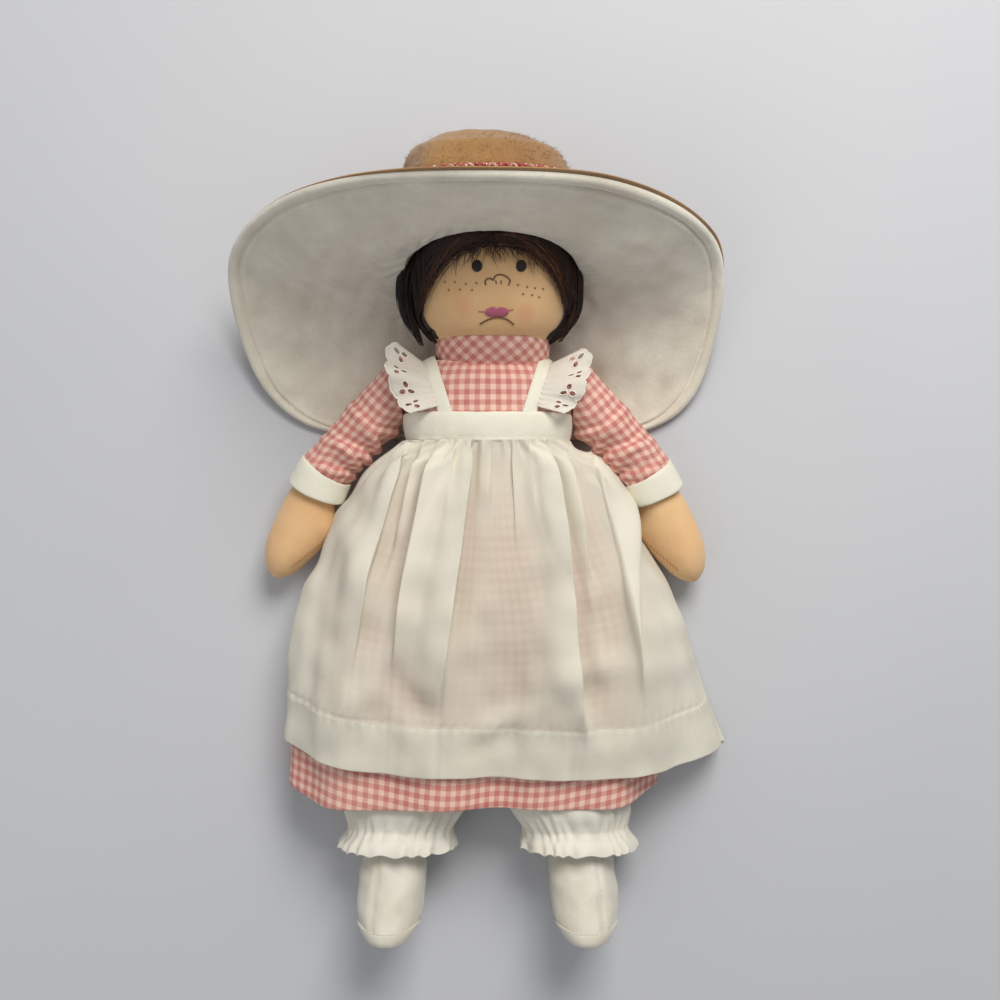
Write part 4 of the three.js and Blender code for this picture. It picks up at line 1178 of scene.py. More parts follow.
def make_sole(prefix, side):
    """The sole, with its edge turned up round the foot as far as the seam."""
    a = turns(72)
    turned = SOLE_TURN * ease((np.sin(a) + 0.5) * 0.8)
    x, half, mid, deep, _, full = leg_section(np.array(float(SOLE_Y)), side)
    rows = []
    for share, out in SOLE_EDGE:
        y = SOLE_Y + share * turned
        section = leg_section(y, side)
        rows.append(lean(oval(section, a, y, out), y, section[2]))
    for size, drop in SOLE_RINGS:
        p = oval((x, half * size, mid, deep * size, 0, full), a, SOLE_Y - drop)
        rows.append(lean(p, np.full(p.shape[:2], float(SOLE_Y)), mid))
    p = np.concatenate(rows)
    keep_above(p, 1.2)
    stuffed(f"{prefix}_sole_stuffed", p, SATEEN, f"{prefix}_sole", f"{prefix}_leg", 0.3, 0.7)
    lines = round_stitches(p, 1, 2.0, 1.2, 0.2)
    sew(f"{prefix}_sole_stitching", lines, 0.14, f"{prefix}_leg", WHITE_THREAD)


# How far a bloomer leg stands off the leg: Y, distance
PUFF = profile([
    (-23, 3.0), (-40, 5.2), (-70, 6.8), (-86, 7.8), (-92, 7.2), (-97, 5.2), (-100, 4.2), (-103, 5.0),
    (-106, 6.6), (-110.5, 7.8),
])
BLOOMER_SPREAD = 5
BLOOMER_SEAMS = (ELASTIC_Y + 3.2, ELASTIC_Y - 3.0)


def make_bloomer_leg(prefix, side):
    y, a = ring_grid(200, (-24.3, -84, 36), (-85, ELASTIC_Y - FRILL, 44))
    x, half, mid, deep, _, full = leg_section(np.maximum(y, -108), side)
    half = half + BLOOMER_SPREAD * ease((-24 - y) / 40)
    uneven = ripple(stack(20 * np.cos(a), 0 * a, 20 * np.sin(a)), 16, 81 + side)
    gather = 0.75 * np.cos(30 * a + 4 * uneven) * bell(y - ELASTIC_Y - 2, 6)
    gather = gather + 0.8 * np.cos(14 * a + 5 * uneven) * bell(y + 90, 9)
    frill = 0.8 * np.cos(22 * a + 5 * uneven) + 0.6 * np.cos(13 * a + 3 * uneven)
    frill = frill * ease((ELASTIC_Y - 1 - y) / (FRILL - 1))
    slack = 0.8 * uneven * ease((-30 - y) / 30) * (1 - ease((-96 - y) / 6))
    out = columns(PUFF(y))[0] + gather + frill + slack
    p = oval((x, half, mid, deep, 1.4, full), a, y, out)
    keep_above(p, 1.3)
    p[..., 1] += 0.7 * np.cos(22 * a + 5 * uneven + 1) * ease((ELASTIC_Y - 4 - y) / 6)
    obj = cloth(f"{prefix}_bloomer_cloth", p, BLOOMER, True, thick=0.45)
    dress(obj, f"{prefix}_bloomer_leg", f"{prefix}_leg")
    lines = []
    for place in BLOOMER_SEAMS:
        row = int(np.argmin(np.abs(y[:, 0] - place)))
        lines += round_stitches(p, row, 2.1, 1.3, 0.25)
    sew(f"{prefix}_bloomer_stitching", lines, 0.15, f"{prefix}_leg", WHITE_THREAD)


# Seat of the bloomers: Y, half width, front
SEAT = profile([
    (-23.5, 47.5, 44), (-10, 46, 43), (5, 44, 43), (22, 43, 48), (36, 42, 55.5), (50, 39.8, 56.4),
    (60, 39.2, 56.3),
])


def make_seat():
    y = stations((60, -23.5, 48))
    a = turns(140)
    half, front = columns(SEAT(y))
    back = 1.4 + 1.4 * ease((y - 20) / 40)
    full = mix(0.7, FULLNESS, ease(y / 60))
    p = oval(between(0, half, back, front, back, full), a, y, -0.4)
    p = swell(p, 0.5 * np.cos(44 * a) * bell(y - 58, 10) + 0.5 * ripple(p, 20, 91))
    keep_above(p, 1.3)
    obj = cloth("bloomer_seat_cloth", p, BLOOMER, True, thick=0.45)
    dress(obj, "bloomers_seat")
    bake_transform(obj)


def make_elastics():
    a = turns(120)
    rows = stations((-3, 3, 7))
    p = oval((0, 36.9, 30.4, 24.2, 6, FULLNESS), a, 56 + rows, 0.6 + 0.15 * np.cos(60 * a))
    obj = cloth("waist_elastic_band", p, ELASTIC, True, thick=0.7)
    dress(obj, "bloomers_waist_elastic", "torso")
    for prefix, side in SIDES.items():
        section = leg_section(np.array(float(ELASTIC_Y)), side)
        p = oval((*section[:4], 3.8, FULLNESS), a, ELASTIC_Y + rows, 0.75 + 0.15 * np.cos(40 * a))
        obj = cloth(f"{prefix}_leg_elastic_band", p, ELASTIC, True, thick=0.6)
        dress(obj, f"{prefix}_leg_elastic", f"{prefix}_leg")


# Torso: Y, half width, back, front
TRUNK = profile([
    (1.5, 36, 19.6, 22.4), (10, 38, 12.2, 30.2), (20, 38, 5.4, 39.6), (32, 38, 4.8, 49), (46, 36.95, 5.8, 53),
    (70, 36.95, 6.15, 54.6), (88, 36.95, 6.2, 54.6), (100, 38.1, 6.2, 55.6), (112, 38.1, 6.2, 54.6),
    (120, 36.6, 7.8, 52.6), (126, 32, 12.2, 48.6), (129, 27, 16, 45),
])


def make_torso():
    y = stations((1.5, 129, 60))
    half, back, front = columns(TRUNK(y))
    section = between(0, half, back, front, back)
    p = armhole_cup(neck_cup(oval(section, turns(72), y, -0.4), 1.4))
    stuffed("torso_stuffed", p, HAND_KNIT, "torso", "torso", 0.5, 0.8)


# Head

CHIN_POWER = 3.9
BROW_POWER = 2.4


def head_size(y, grow=0.0):
    """Half width and half depth of the head at a height."""
    away = np.clip((y - HEAD[1]) / (HEAD_HALF[1] + grow), -1, 1)
    power_of = np.where(away < 0, CHIN_POWER, BROW_POWER)
    size = (1 - np.abs(away) ** power_of) ** (1 / power_of)
    return (HEAD_HALF[0] + grow) * size, (HEAD_HALF[2] + grow) * size


def head_point(latitude, a, grow=0.0):
    full = np.where(latitude < 0, 2 / CHIN_POWER, 2 / BROW_POWER)
    y = HEAD[1] + (HEAD_HALF[1] + grow) * power(np.sin(latitude), full)
    size = np.cos(latitude) ** full
    half, deep = (HEAD_HALF[0] + grow) * size, (HEAD_HALF[2] + grow) * size
    return oval((HEAD[0], half, HEAD[2], deep, 0, FULLNESS), a, y)


def on_head(x, y, lift):
    """A point on the front of the head, raised off it."""
    half, deep = head_size(y, 0.0)
    c = np.clip(np.abs(x - HEAD[0]) / np.maximum(half + lift, 1), 0, 0.995) ** (1 / FULLNESS)
    return stack(x, y, HEAD[2] + (deep + lift) * np.sqrt(1 - c * c) ** FULLNESS)


# Blush on the cheeks: middle, radius
CHEEKS = [((-10.7, 149.9, 68), 7.5), ((18.4, 146.9, 67), 6.5)]
# Neck: Y, half width, front, back
NECK_SHAPE = profile([
    (116, 10, 34, 22), (121, 22, 44, 14), (126, 24.6, 48.4, 12), (131, 25.6, 53, 13), (136, 26.2, 57.6, 15),
    (141, 29, 60, 18), (150, 27, 58, 22),
])


def make_head():
    skin = knit("face_knit", CHEEKS)
    a = turns(96)
    p = head_point(np.radians(stations((-88, 88, 62))), a, -0.3)
    made = stuffed("head_stuffed", p, skin, "head", "head", 0.7, 0.85)
    y = stations((116, 150, 26))
    half, front, back = columns(NECK_SHAPE(y))
    p = oval(between(NECK[0] + 0.5, half, back, front), a, y)
    neck = closed_form("neck_stuffed", p, skin)
    PADDED.append((neck, "head", 0.4, 0.85))
    return made


STUFFING_FRAMES = 18
STUFFING = {
    "quality": 4, "mass": 0.08, "use_pressure": True, "uniform_pressure_force": 4, "tension_stiffness": 25,
    "compression_stiffness": 25, "shear_stiffness": 8, "bending_stiffness": 0.4,
}


def stuff(pieces):
    """Blows the stuffed pieces up as cloth, all in one run, and keeps each point near its place."""
    rest = {}
    for obj, _, _, _ in pieces:
        rest[obj.name] = np.array([v.co for v in obj.data.vertices])
        settings = obj.modifiers.new("stuffing", "CLOTH").settings
        for key, value in STUFFING.items():
            setattr(settings, key, value)
        settings.effector_weights.gravity = 0
    scene = bpy.context.scene
    for number in range(1, STUFFING_FRAMES + 1):
        scene.frame_set(number)
    graph = bpy.context.evaluated_depsgraph_get()
    moved = {}
    for obj, _, cap, _ in pieces:
        made = np.array([v.co for v in obj.evaluated_get(graph).data.vertices])
        step = made - rest[obj.name]
        far = np.linalg.norm(step, axis=1, keepdims=True)
        moved[obj.name] = rest[obj.name] + step * np.minimum(1, cap * MM / np.maximum(far, 1e-9))
    for obj, _, _, _ in pieces:
        obj.modifiers.remove(obj.modifiers["stuffing"])
        points = moved[obj.name]
        points[:, 2] = np.maximum(points[:, 2], 0.8 * MM)
        obj.data.vertices.foreach_set("co", points.astype(np.float32).ravel())
        obj.data.update()
    scene.frame_set(1)


# Hair

FACE_OVAL = (35.5, 41.5)
FACE_MIDDLE = HEAD[1] - 40
HAIRLINE = 176.5  # top of the arch of hair over the face
STRAND = 20  # points along a strand
WIG_STRANDS = 1300
FRINGE_STRANDS = 640
LOCK_STRANDS = 280


def taper(radius):
    return radius * np.sqrt(np.clip(np.linspace(1, 0, STRAND), 0.05, 1))


# Wisps over the brow: middle, spread, how many, longest
WISPS = [
    (-19, 4, 46, 14), (-5, 6, 60, 10), (7, 5, 34, 8), (19, 3, 34, 13), (29, 3, 30, 19), (-28, 3, 34, 18),
    (12, 9, 40, 7),
]


class Strands:
    """Hair gathered strand by strand, then made into one piece."""

    def __init__(self):
        self.paths, self.radii, self.tones = [], [], []

    def add(self, path, radius, tone):
        self.paths.append(path)
        self.radii.append(np.broadcast_to(radius, (len(path),)))
        self.tones.append(float(np.clip(tone, 0, 1)))

    def make(self, name):
        return tubes(name, self.paths, self.radii, HAIR, 5, self.tones)


def face_depth(p):
    """Below 1 inside the opening of the wig round the face."""
    inside = np.hypot((p[..., 0] - HEAD[0]) / FACE_OVAL[0], (p[..., 1] - FACE_MIDDLE) / FACE_OVAL[1])
    return np.where(p[..., 2] > HEAD[2] + 6, inside, 9.0)


def make_hair_cap():
    latitude = np.radians(stations((-62, 89, 64)))
    a = turns(160)
    p = head_point(latitude, a, 1.1)
    open_face = face_depth(p) < 1
    p = np.where(open_face[..., None], head_point(latitude, a, -1.8), p)
    comb = 0.35 * np.cos(70 * a + 3 * ripple(p, 30, 101))
    p = swell(p, np.where(open_face, 0, comb))
    obj = cloth("wig_cap", p, HAIR, True, thick=0.6)
    # The cap under the strands takes the darkest tone: painted shade in the gaps between strands.
    set_tone(obj, np.full(p.shape[:2], 0.04))
    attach(obj, "head")


def make_wig():
    """Strands from the top of the head down, cut off where they come to the face."""
    wig = Strands()
    t = np.linspace(0, 1, STRAND)
    for _ in range(WIG_STRANDS):
        at = rng.uniform(0, TAU)
        drift = rng.normal(0, 0.06)
        latitude = np.radians(mix(rng.uniform(66, 88), rng.uniform(-64, -50), t))
        lift = 1.2 + 1.5 * rng.random() + 0.5 * np.sin(t * rng.uniform(4, 9) + rng.uniform(0, 6))
        path = head_point(latitude, at + drift * t + 0.02 * np.sin(7 * t), lift)
        blocked = np.nonzero(face_depth(path) < 1)[0]
        if len(blocked):
            if blocked[0] < 6:
                continue
            path = path[:blocked[0]]
        radius = rng.uniform(0.3, 0.55) * np.sqrt(np.clip(np.linspace(1, 0, len(path)), 0.06, 1))
        wig.add(path, radius, rng.normal(0.2, 0.14))
    dress(wig.make("wig_strands"), "hair_cap", "head")


def make_fringe():
    """Hair swept from the parting over the brow to each side, and a few wisps across it."""
    wisps = Strands()
    t = np.linspace(0, 1, STRAND)
    for _ in range(FRINGE_STRANDS):
        way = rng.choice([-1, 1])
        low = rng.random() ** 2
        start = np.array([HEAD[0] + way * rng.uniform(-3, 14), mix(HAIRLINE, 193, rng.random())])
        knee_x = HEAD[0] + way * rng.uniform(20, 30)
        knee = np.array([knee_x, mix(186, HAIRLINE - 2, low) + rng.normal(0, 2.4)])
        end = np.array([HEAD[0] + way * rng.uniform(32, 37), mix(172, 152, low) + rng.normal(0, 4)])
        xy = start * ((1 - t) ** 2)[:, None] + knee * (2 * t * (1 - t))[:, None] + end * (t * t)[:, None]
        lift = 1.2 + 1.6 * rng.random() + 0.6 * np.sin(np.pi * t)
        # Strands swept to the doll's right, away from the key lamp, get a darker tone, painted shade; those
        # swept to its left get a lighter, redder tone, painted light.
        tone = rng.normal(0.18 if way < 0 else 0.34, 0.17) + 0.3 * low
        wisps.add(on_head(xy[:, 0], xy[:, 1], lift), taper(rng.uniform(0.13, 0.34)), tone)
    for middle, spread, count, longest in WISPS:
        for _ in range(count):
            x = middle + rng.normal(0, spread)
            top = HAIRLINE + rng.uniform(2, 12)
            foot = HAIRLINE - longest * rng.uniform(0.25, 1)
            bend = rng.normal(0, 3.5) + (x - HEAD[0]) * 0.2
            lift = 0.9 + 0.9 * rng.random() + 0.8 * np.sin(np.pi * t)
            path = on_head(x + bend * t * t, mix(top, foot, t), lift)
            wisps.add(path, taper(rng.uniform(0.12, 0.26)), rng.normal(0.5, 0.18))
    dress(wisps.make("wig_fringe"), "hair_fringe", "head")


def make_lock(prefix, side):
    """Hair beside the face: it hangs over the cheek's edge and turns in below the chin."""
    lock = Strands()
    t = np.linspace(0, 1, STRAND)
    full = 1.0 if side < 0 else 0.75
    wide = 3.4 if side < 0 else 0.8
    centre = profile([
        (0, 37, 179, 46), (0.35, 38.5 + wide, 164, 45), (0.7, 37.5 + wide, 149, 43),
        (1, 31 + wide, 136 + side, 41),
    ])
    for _ in range(int(LOCK_STRANDS * full)):
        turn, far = rng.uniform(0, TAU), np.sqrt(rng.random())
        reach = rng.uniform(0.6, 1.04)
        x, y, z = columns(centre(t * reach))
        body = np.interp(t * reach, [0, 0.3, 0.75, 1], [0.7, 1, 0.85, 0.25])
        wave = 0.6 * np.sin(t * 6 + turn) + 0.3 * np.sin(t * 13 + 2 * turn)
        x = x + full * far * np.cos(turn) * 4.6 * body + 0.5 * wave
        z = z + far * np.sin(turn) * 7.5 * body + wave
        half, deep = head_size(y)
        inside = np.hypot(x / (half + 1.2), (z - HEAD[2]) / (deep + 1.2))
        push = np.maximum(1, 1 / np.maximum(inside, 0.2))
        path = stack(HEAD[0] + side * x * push, y, HEAD[2] + (z - HEAD[2]) * push)
        inner = 0.4 * far * max(0.0, -np.cos(turn))
        # The doll's right lock, away from the key lamp, gets a darker tone, painted shade; its left lock gets
        # a lighter, redder tone, painted light.
        lock.add(path, taper(rng.uniform(0.18, 0.38)), rng.normal(0.06 if side < 0 else 0.32, 0.14) + inner)
    dress(lock.make(f"{prefix}_wig_lock"), f"{prefix}_hair_lock", "head")


# Face, placed by where the photograph shows each stitch and set on the head's own surface

EYES_PX = [(477, 266), (521, 266)]
EYE_PX = (4.9, 5.8)
NOSE_PX = [
    (486, 285), (485, 281.5), (488, 278.6), (491, 278.6), (493.2, 280.2), (495, 276.4), (500, 274.6),
    (505, 276), (510, 281), (508.5, 285),
]
NOSTRILS_PX = [[(495.5, 280.5), (496.5, 284)], [(501, 280.5), (501, 284)]]
FRECKLES_PX = [
    (445, 282), (455, 282), (466, 284), (476.5, 283), (449, 290), (460, 289.5), (472, 290),
    (518, 285), (527, 287), (535, 288), (543, 289), (523, 294), (532, 295), (539, 297),
]
LIPS_PX = (496.8, 312.2, 11.2, 5.4)
MOUTH_LINE_PX = [(478.5, 311.4), (488, 311.6), (507, 311), (513, 309.4)]
STITCH_POINTS = 7  # along a satin stitch
CHIN_LINE_PX = [(480, 324), (488, 319.6), (497.5, 317.4), (507, 319.4), (513.8, 324.4)]


class Face:
    """Puts points of the photograph on a piece's surface."""

    def __init__(self, obj):
        self.tree = BVHTree.FromObject(obj, bpy.context.evaluated_depsgraph_get())

    def at(self, px, py, lift=0.0):
        eye = Vector(CAMERA * MM)
        way = Vector(((px - IMAGE / 2) * PIXEL, (IMAGE / 2 - py) * PIXEL, -CAMERA[2])).normalized()
        place, normal, _, _ = self.tree.ray_cast(eye, way)
        return np.array(place) / MM + np.array(normal) * lift

    def line(self, pixels, lift=0.25, count=12):
        pixels = np.array(pixels, float)
        s = run_length(pixels, 0)
        curve = profile(np.column_stack([s, pixels]))
        return np.array([self.at(*q, lift) for q in curve(np.linspace(0, s[-1], count))])


def raised_stitch(face, x, top, foot, lift, ends):
    """An upright stitch that arches off the face; ends is the share of the arch left off at each end."""
    arch = lift * np.sin(np.pi * np.linspace(ends, 1 - ends, STITCH_POINTS))
    return np.array([face.at(x, y, h) for y, h in zip(np.linspace(top, foot, STITCH_POINTS), arch)])


def eye_stitches(face, cx, cy, half_x, half_y, count=9):
    """Upright satin stitches that fill an oval."""
    paths = []
    for k in range(count):
        t = -1 + 2 * (k + 0.5) / count
        reach = half_y * np.sqrt(1 - t * t)
        paths.append(raised_stitch(face, cx + t * half_x, cy - reach, cy + reach, 0.75, 0.12))
    return paths


def lip_stitches(face, count=22):
    """Upright satin stitches: two bows along the top, nearly straight below."""
    cx, cy, half, high = LIPS_PX
    paths = []
    for t in np.linspace(-0.97, 0.97, count):
        bow = np.sqrt(1 - t * t) ** 0.8 - 0.32 * bell(t, 0.2)
        foot = cy + 0.75 * high * np.sqrt(1 - t ** 4)
        paths.append(raised_stitch(face, cx + half * t, cy - high * bow, foot, 0.7, 0.1))
    return paths


def make_face(head):
    face = Face(head)
    eyes = []
    for eye in EYES_PX:
        eyes += eye_stitches(face, *eye, *EYE_PX)
    brown = [face.line(NOSE_PX, 0.2, 34), face.line(CHIN_LINE_PX, 0.2, 26)]
    brown += [face.line(tick, 0.15, 5) for tick in NOSTRILS_PX]
    spots = []
    for x, y in FRECKLES_PX:
        spots.append(face.line([(x - 0.9, y - 0.5), (x, y), (x + 0.9, y + 0.4)], 0.2, 5))
    lips = lip_stitches(face)
    line = [face.line(MOUTH_LINE_PX, 0.25, 16)]
    made = [
        tubes("eye_stitches", eyes, [0.34] * len(eyes), BLACK_THREAD, 6),
        tubes("nose_and_chin_stitches", brown, [0.36, 0.42, 0.28, 0.28], BROWN_THREAD, 6),
        tubes("freckle_knots", spots, [[0.26, 0.44, 0.5, 0.44, 0.26]] * len(spots), FRECKLE_THREAD, 6),
        tubes("lip_stitches", lips, [0.34] * len(lips), LIP_THREAD, 6),
        tubes("mouth_stitch", line, [0.26], LIP_THREAD, 6),
    ]
    for piece in made:
        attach(piece, "head")


# Hat

CROWN_HALF = (41.2, 35.2)
CROWN_X = HEAD[0] - 1
FELT_THICK = 1.2
DOME_TOP = CROWN_TOP - 3  # where the last rings close the crown
# Share of the dome's height, and the crown's size there
DOME_SIZES = [(0, 1), (0.3, 0.99), (0.6, 0.94), (0.8, 0.8)]
DOME = profile([(mix(DOME_Y, CROWN_TOP, up), size) for up, size in DOME_SIZES] + [(DOME_TOP, 0.52)])
TOP_RINGS = (0.85, 0.7, 0.52, 0.34, 0.18, 0.06, 0.006)
FIBRES = 1500
BRAID_STEPS = 520
BRAID_WAVES = 62


def opening(a):
    """Y of the crown's tilted opening."""
    return 167 + 17 * np.sin(a)


def crown_section(y, out):
    size = columns(DOME(y))[0]
    x = CROWN_X - 4 * ease((y - DOME_Y) / 50)
    return x, (CROWN_HALF[0] + out) * size, HEAD[2], (CROWN_HALF[1] + out) * size, 0, FULLNESS


def make_crown():
    a = turns(150)
    out = FELT_THICK / 2
    lower = stations((0, 1, 14))
    rows = [oval(crown_section(np.full((14, 1), float(DOME_Y)), out), a, mix(opening(a), DOME_Y, lower))]
    y = stations((DOME_Y + 1, DOME_TOP, 40))
    rows.append(oval(crown_section(y, out), a, y))
    x, half, mid, deep, *_ = crown_section(np.array(DOME_TOP), out)
    for size in TOP_RINGS:
        top = DOME_TOP + 1.9 * (1 - size ** 2)
        rows.append(oval((x, half * size, mid, deep * size, 0, FULLNESS), a, top))
    p = np.concatenate(rows)
    height = p[..., 1]
    dent = 0.8 * ripple(p, 34, 111) + 0.35 * ripple(p, 13, 112)
    seam = -0.55 * bell(height - 229, 1.0) + 0.35 * bell(height - 226.6, 1.6)
    tie = -0.45 * bell(height - BRAID_Y, 3.2)
    p = swell(p, dent * ease((height - 186) / 12) + seam + tie)
    obj = cloth("hat_crown_felt", p, FELT, True, thick=1.1)
    dress(obj, "hat_crown", "hat")


def make_fuzz():
    """Loose fibres that stand off the felt crown."""
    fibres = []
    for _ in range(FIBRES):
        y = rng.uniform(196, DOME_TOP)
        a = rng.uniform(-0.3, np.pi + 0.3)
        root = oval(crown_section(np.array(y), FELT_THICK), np.array(a), y, 0.3)
        away = unit(np.array([np.cos(a) / CROWN_HALF[0], 0.006, np.sin(a) / CROWN_HALF[1]]))
        way = unit(away * rng.uniform(0.1, 0.8) + 0.8 * unit(rng.normal(size=3)))
        t = np.linspace(-0.3, 1, 5)[:, None]
        bend = 0.6 * unit(rng.normal(size=3))
        fibres.append(root + rng.uniform(0.8, 2.4) * (t * way + t * t * bend))
    obj = tubes("hat_felt_fibres", fibres, [[0.07, 0.07, 0.06, 0.05, 0.03]] * len(fibres), FELT, 3)
    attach(obj, "hat")


def make_braid():
    """Three strands that swing over and under each other round the crown."""
    a = np.linspace(0, TAU, BRAID_STEPS, endpoint=False)
    ring = oval(crown_section(np.full(BRAID_STEPS, BRAID_Y), FELT_THICK), a, BRAID_Y, 0.9)
    s = np.linspace(0, BRAID_WAVES, BRAID_STEPS, endpoint=False) * TAU
    n = unit(stack(np.cos(a) / CROWN_HALF[0], 0, np.sin(a) / CROWN_HALF[1]))
    paths = []
    for k in range(3):
        lift = np.sin(s + k * 2 * TAU / 3)
        p = ring + n * (0.45 * lift)[:, None]
        p[:, 1] += 1.55 * np.sin(s / 2 + k * TAU / 3)
        paths.append(p)
    obj = tubes("hat_braid_band", paths, [0.78] * 3, BRAID, 6, [0.0, 0.1, 0.75], closed=True, up=(0, 1, 0))
    dress(obj, "hat_band", "hat")


# Free edge of the brim: angle round the crown, X, Y, Z
BRIM_EDGE = np.array([
    (0, 114, 177, 34), (30, 97, 191, 66), (60, 55, 199, 108), (90, -3, 196.5, 137), (120, -64, 199, 110),
    (150, -103, 194, 70), (180, -125.5, 177, 34), (208, -125, 148, 16), (230, -113, 117, 6),
    (246, -89, 98, 2.4), (270, -4, 91, 1.7), (294, 82, 97, 2.4), (310, 103, 112, 5), (332, 115, 150, 17),
], float)
BRIM_COLUMNS = 300
BRIM_BORDER = 6.3  # from the edge to the stitching


def closed_curve(points):
    """A smooth closed curve; its parameter runs evenly from point to point."""
    count = len(points)
    ring = np.concatenate([points[-3:], points, points[:4]])
    knot = run_length(ring, 0)
    step = np.sqrt(np.maximum(np.diff(knot), 1e-6))
    knot = np.concatenate([[0], np.cumsum(step)])
    curve = profile(np.column_stack([knot, ring]))
    return lambda t: curve(np.interp(np.mod(t, 1) * count + 3, np.arange(len(ring)), knot))


EDGE_CURVE = closed_curve(BRIM_EDGE[:, 1:])


def brim_grid(t, u):
    """Middle surface of the brim, t round it and u from the head opening to the edge."""
    place = np.mod(t, 1) * len(BRIM_EDGE)
    angles = np.append(BRIM_EDGE[:, 0], 360)
    a = np.radians(np.interp(place, np.arange(len(angles)), angles))
    start = oval(crown_section(np.full_like(a, float(DOME_Y)), FELT_THICK / 2), a, opening(a))
    down = ease(-np.sin(a))
    rise = 0.1 * np.maximum(0, np.sin(a)) - 0.12 - down
    way = unit(stack(np.cos(a) * (1 - 0.75 * down), rise, np.sin(a) * (1 - 0.86 * down)))
    start = start + 1.2 * way
    edge = EDGE_CURVE(t)
    keep_above(edge, 1.7)
    bend = start + way * (0.5 * np.linalg.norm(edge - start, axis=-1))[..., None]
    keep_above(bend, 1.7)
    u = u[..., None]
    return start * (1 - u) ** 2 + bend * 2 * u * (1 - u) + edge * u * u, a


def brim_layers():
    """The lining and the felt as grids, with the distance of their points to the edge and the normals."""
    around = np.linspace(0, 1, BRIM_COLUMNS, endpoint=False)[None, :]
    t, u = np.broadcast_arrays(around, stations((0, 0.8, 44), (0.82, 1, 30)))
    p, a = brim_grid(t, u)
    n = normals(p, True)
    n = n * np.sign((n[3:30] * [0, -0.6, 0.8]).sum())
    left = to_edge(p)
    pucker = 0.55 * np.cos(34 * a + 9 * ripple(p, 26, 121)) * bell(u - 0.05, 0.1) * ease(u / 0.04)
    wave = (1.7 * ripple(p, 62, 122) + 1.0 * ripple(p, 24, 123)) * ease(u / 0.25) * ease(left / 14)
    wave = wave + 0.6 * ripple(p, 11, 124) * ease(u / 0.1) * ease(left / 10)
    p = p + n * (pucker + wave)[..., None]
    keep_above(p, 1.5)
    n = normals(p, True) * np.sign((normals(p, True) * n).sum())
    puff = 1.3 * np.sin(np.pi * np.clip(left / BRIM_BORDER, 0, 1)) - 1.1 * bell(left - BRIM_BORDER, 0.8)
    puff = puff + 0.5 * bell(left - BRIM_BORDER - 2.5, 1.8)
    lining = p + n * (0.75 + puff - 0.6 * bell(left, 0.8))[..., None]
    lip = (0.3 + 0.8 * ripple(p[0], 15, 125))[None, :] * bell(u, 0.03)
    lining = lining + unit(p[0] - p[2])[None] * lip[..., None]
    roll = 0.55 - 0.45 * ease(left / 2.0)
    felt_side = p - n * (0.75 - roll * 1.1)[..., None]
    show = 0.3 + 1.7 * ease((np.sin(a[-1]) + 0.15) * 2.2) * ease((np.cos(a[-1]) + 0.75) * 1.4)
    spoke = unit(p[-1] - p[-4])
    felt_side = felt_side + spoke[None] * (show[None, :] * bell(left, 1.4))[..., None]
    for layer in (lining, felt_side):
        keep_above(layer, 0.7)
    return lining, felt_side, left, n


def along_border(left, values):
    """What a grid holds where it is the border's width away from its edge."""
    row = []
    for k in range(BRIM_COLUMNS):
        row.append([np.interp(-BRIM_BORDER, -left[:, k], values[:, k, j]) for j in range(3)])
    return looped(np.array(row))


def make_brim():
    lining, felt_side, left, n = brim_layers()
    flannel = cloth("hat_brim_flannel", lining, FLANNEL, True, thick=0.5)
    dress(flannel, "hat_brim_lining", "hat")
    outside = cloth("hat_brim_felt", felt_side, FELT, True, thick=0.9)
    dress(outside, "hat_brim", "hat")
    lines = stitch_paths(along_border(left, lining), along_border(left, n), 3.0, 2.0, 0.3)
    sew("hat_brim_stitching", lines, 0.2, "hat", WHITE_THREAD, 5)


# Seams sewn by hand, on the stuffed pieces as they end up

def cast_line(obj, starts, targets):
    """Where rays from starts to targets meet a piece, and the piece's normals there."""
    tree = BVHTree.FromObject(obj, bpy.context.evaluated_depsgraph_get())
    line, face = [], []
    for start, target in zip(starts, targets):
        place, normal, _, _ = tree.ray_cast(Vector(start * MM), Vector(target - start).normalized())
        if place is not None:
            line.append(np.array(place) / MM)
            face.append(np.array(normal))
    return np.array(line), np.array(face)


def make_hand_seam(prefix, side, obj):
    limb = Limb(side)
    s = np.linspace(84, 112, 40)
    a = np.radians(mix(18, 62, np.linspace(0, 1, 40) ** 1.3))
    line, face = cast_line(obj, limb.point(s, a, np.full(40, 30.0)), limb.frame(s)[0])
    paths = stitch_paths(line, face, 2.1, 1.9, 0.22, 0.9)
    sew(f"{prefix}_hand_stitching", paths, 0.2, f"{prefix}_arm", HAND_THREAD, 5)


def make_leg_seam(prefix, side, obj):
    y = np.linspace(-98, -143, 60)
    angle = np.full(60, np.pi / 2 - side * LEG_TURN)
    section = leg_section(y, side)
    outside, inside = (lean(oval(section, angle, y, out), y, section[2]) for out in (12.0, -10.0))
    line, face = cast_line(obj, outside, inside)
    paths = stitch_paths(line, face, 1.9, 1.5, 0.18)
    sew(f"{prefix}_leg_stitching", paths, 0.16, f"{prefix}_leg", WHITE_THREAD)


# Stage

FLOOR_Z = -0.0005
SENSOR = 36
LOOK_AT = (0, 0.05, 0.03)
# Lamps: name, place and size in metres, power, colour
LAMPS = [
    ("key", (0.32, 0.95, 1.05), 0.7, 16.5, (1.0, 0.975, 0.93)),
    ("fill", (-0.8, -0.4, 1.1), 1.2, 2.6, (1.0, 0.99, 0.97)),
]
SKY = (0.97, 0.98, 1.0, 1)
SKY_POWER = 0.3


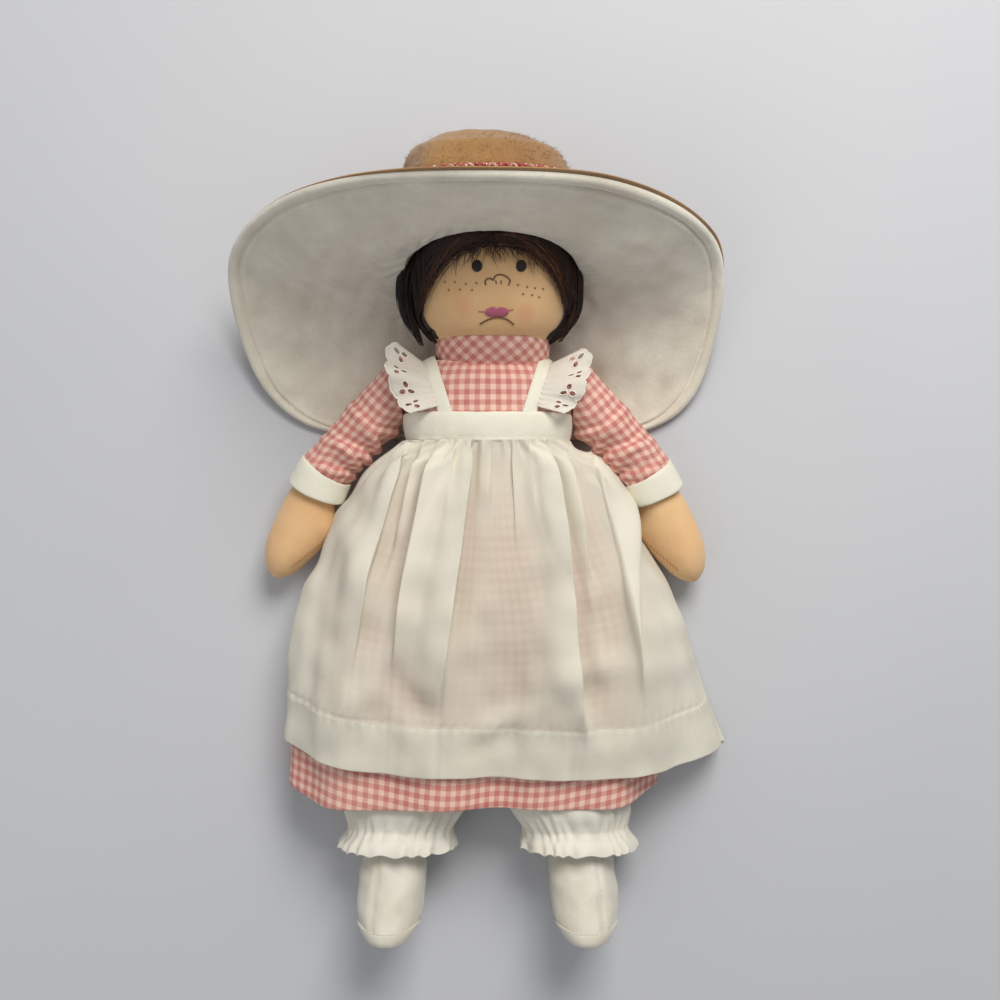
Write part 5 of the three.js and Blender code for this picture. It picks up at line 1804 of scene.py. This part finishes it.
def make_floor():
    bpy.ops.mesh.primitive_plane_add(size=6, location=(0, 0, FLOOR_Z))
    floor = bpy.context.object
    floor.name = "floor"
    s = Shader("floor", 0.6)
    cloud = s.spread(s.noise(s.coords("Object"), 3.0, 3), 0.3, 0.7)
    floor.data.materials.append(s.finish(s.blend(cloud, rgb(204, 206, 210), rgb(199, 201, 206))))


def make_camera():
    camera = bpy.data.objects.new("camera", bpy.data.cameras.new("camera"))
    bpy.context.scene.collection.objects.link(camera)
    camera.location = CAMERA * MM
    camera.data.sensor_width = SENSOR
    camera.data.lens = SENSOR * CAMERA[2] / (IMAGE * PIXEL)
    camera.data.clip_start = 0.01
    bpy.context.scene.camera = camera


def make_lights():
    for name, place, size, energy, colour in LAMPS:
        lamp = bpy.data.objects.new(name, bpy.data.lights.new(name, "AREA"))
        bpy.context.scene.collection.objects.link(lamp)
        lamp.location = place
        way = Vector(LOOK_AT) - Vector(place)
        lamp.rotation_euler = way.to_track_quat("-Z", "Y").to_euler()
        lamp.data.size = size
        lamp.data.energy = energy
        lamp.data.color = colour
    world = bpy.data.worlds.new("studio")
    world.use_nodes = True
    world.node_tree.nodes["Background"].inputs[0].default_value = SKY
    world.node_tree.nodes["Background"].inputs[1].default_value = SKY_POWER
    bpy.context.scene.world = world
    bpy.context.scene.view_settings.view_transform = "Standard"


make_floor()
make_camera()
make_lights()
make_torso()
head = make_head()
for prefix, side in SIDES.items():
    make_arm(prefix, side)
    make_leg(prefix, side)
    make_sole(prefix, side)
stuff(PADDED)
for obj, body, _, fill in PADDED:
    obj.modifiers.new("smooth", "SUBSURF").render_levels = 1
    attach(obj, body)
for prefix, side in SIDES.items():
    make_hand_seam(prefix, side, bpy.data.objects[f"{prefix}_arm_stuffed"])
    make_leg_seam(prefix, side, bpy.data.objects[f"{prefix}_leg_stuffed"])
make_face(head)
make_hair_cap()
make_wig()
make_fringe()
make_bodice()
make_collar()
make_skirt()
make_waistband()
make_apron()
make_seat()
make_elastics()
for prefix, side in SIDES.items():
    make_lock(prefix, side)
    make_sleeve(prefix, side)
    make_cuff(prefix, side)
    make_strap(prefix, side)
    make_ruffle(prefix, side)
    make_bloomer_leg(prefix, side)
make_crown()
make_fuzz()
make_braid()
make_brim()
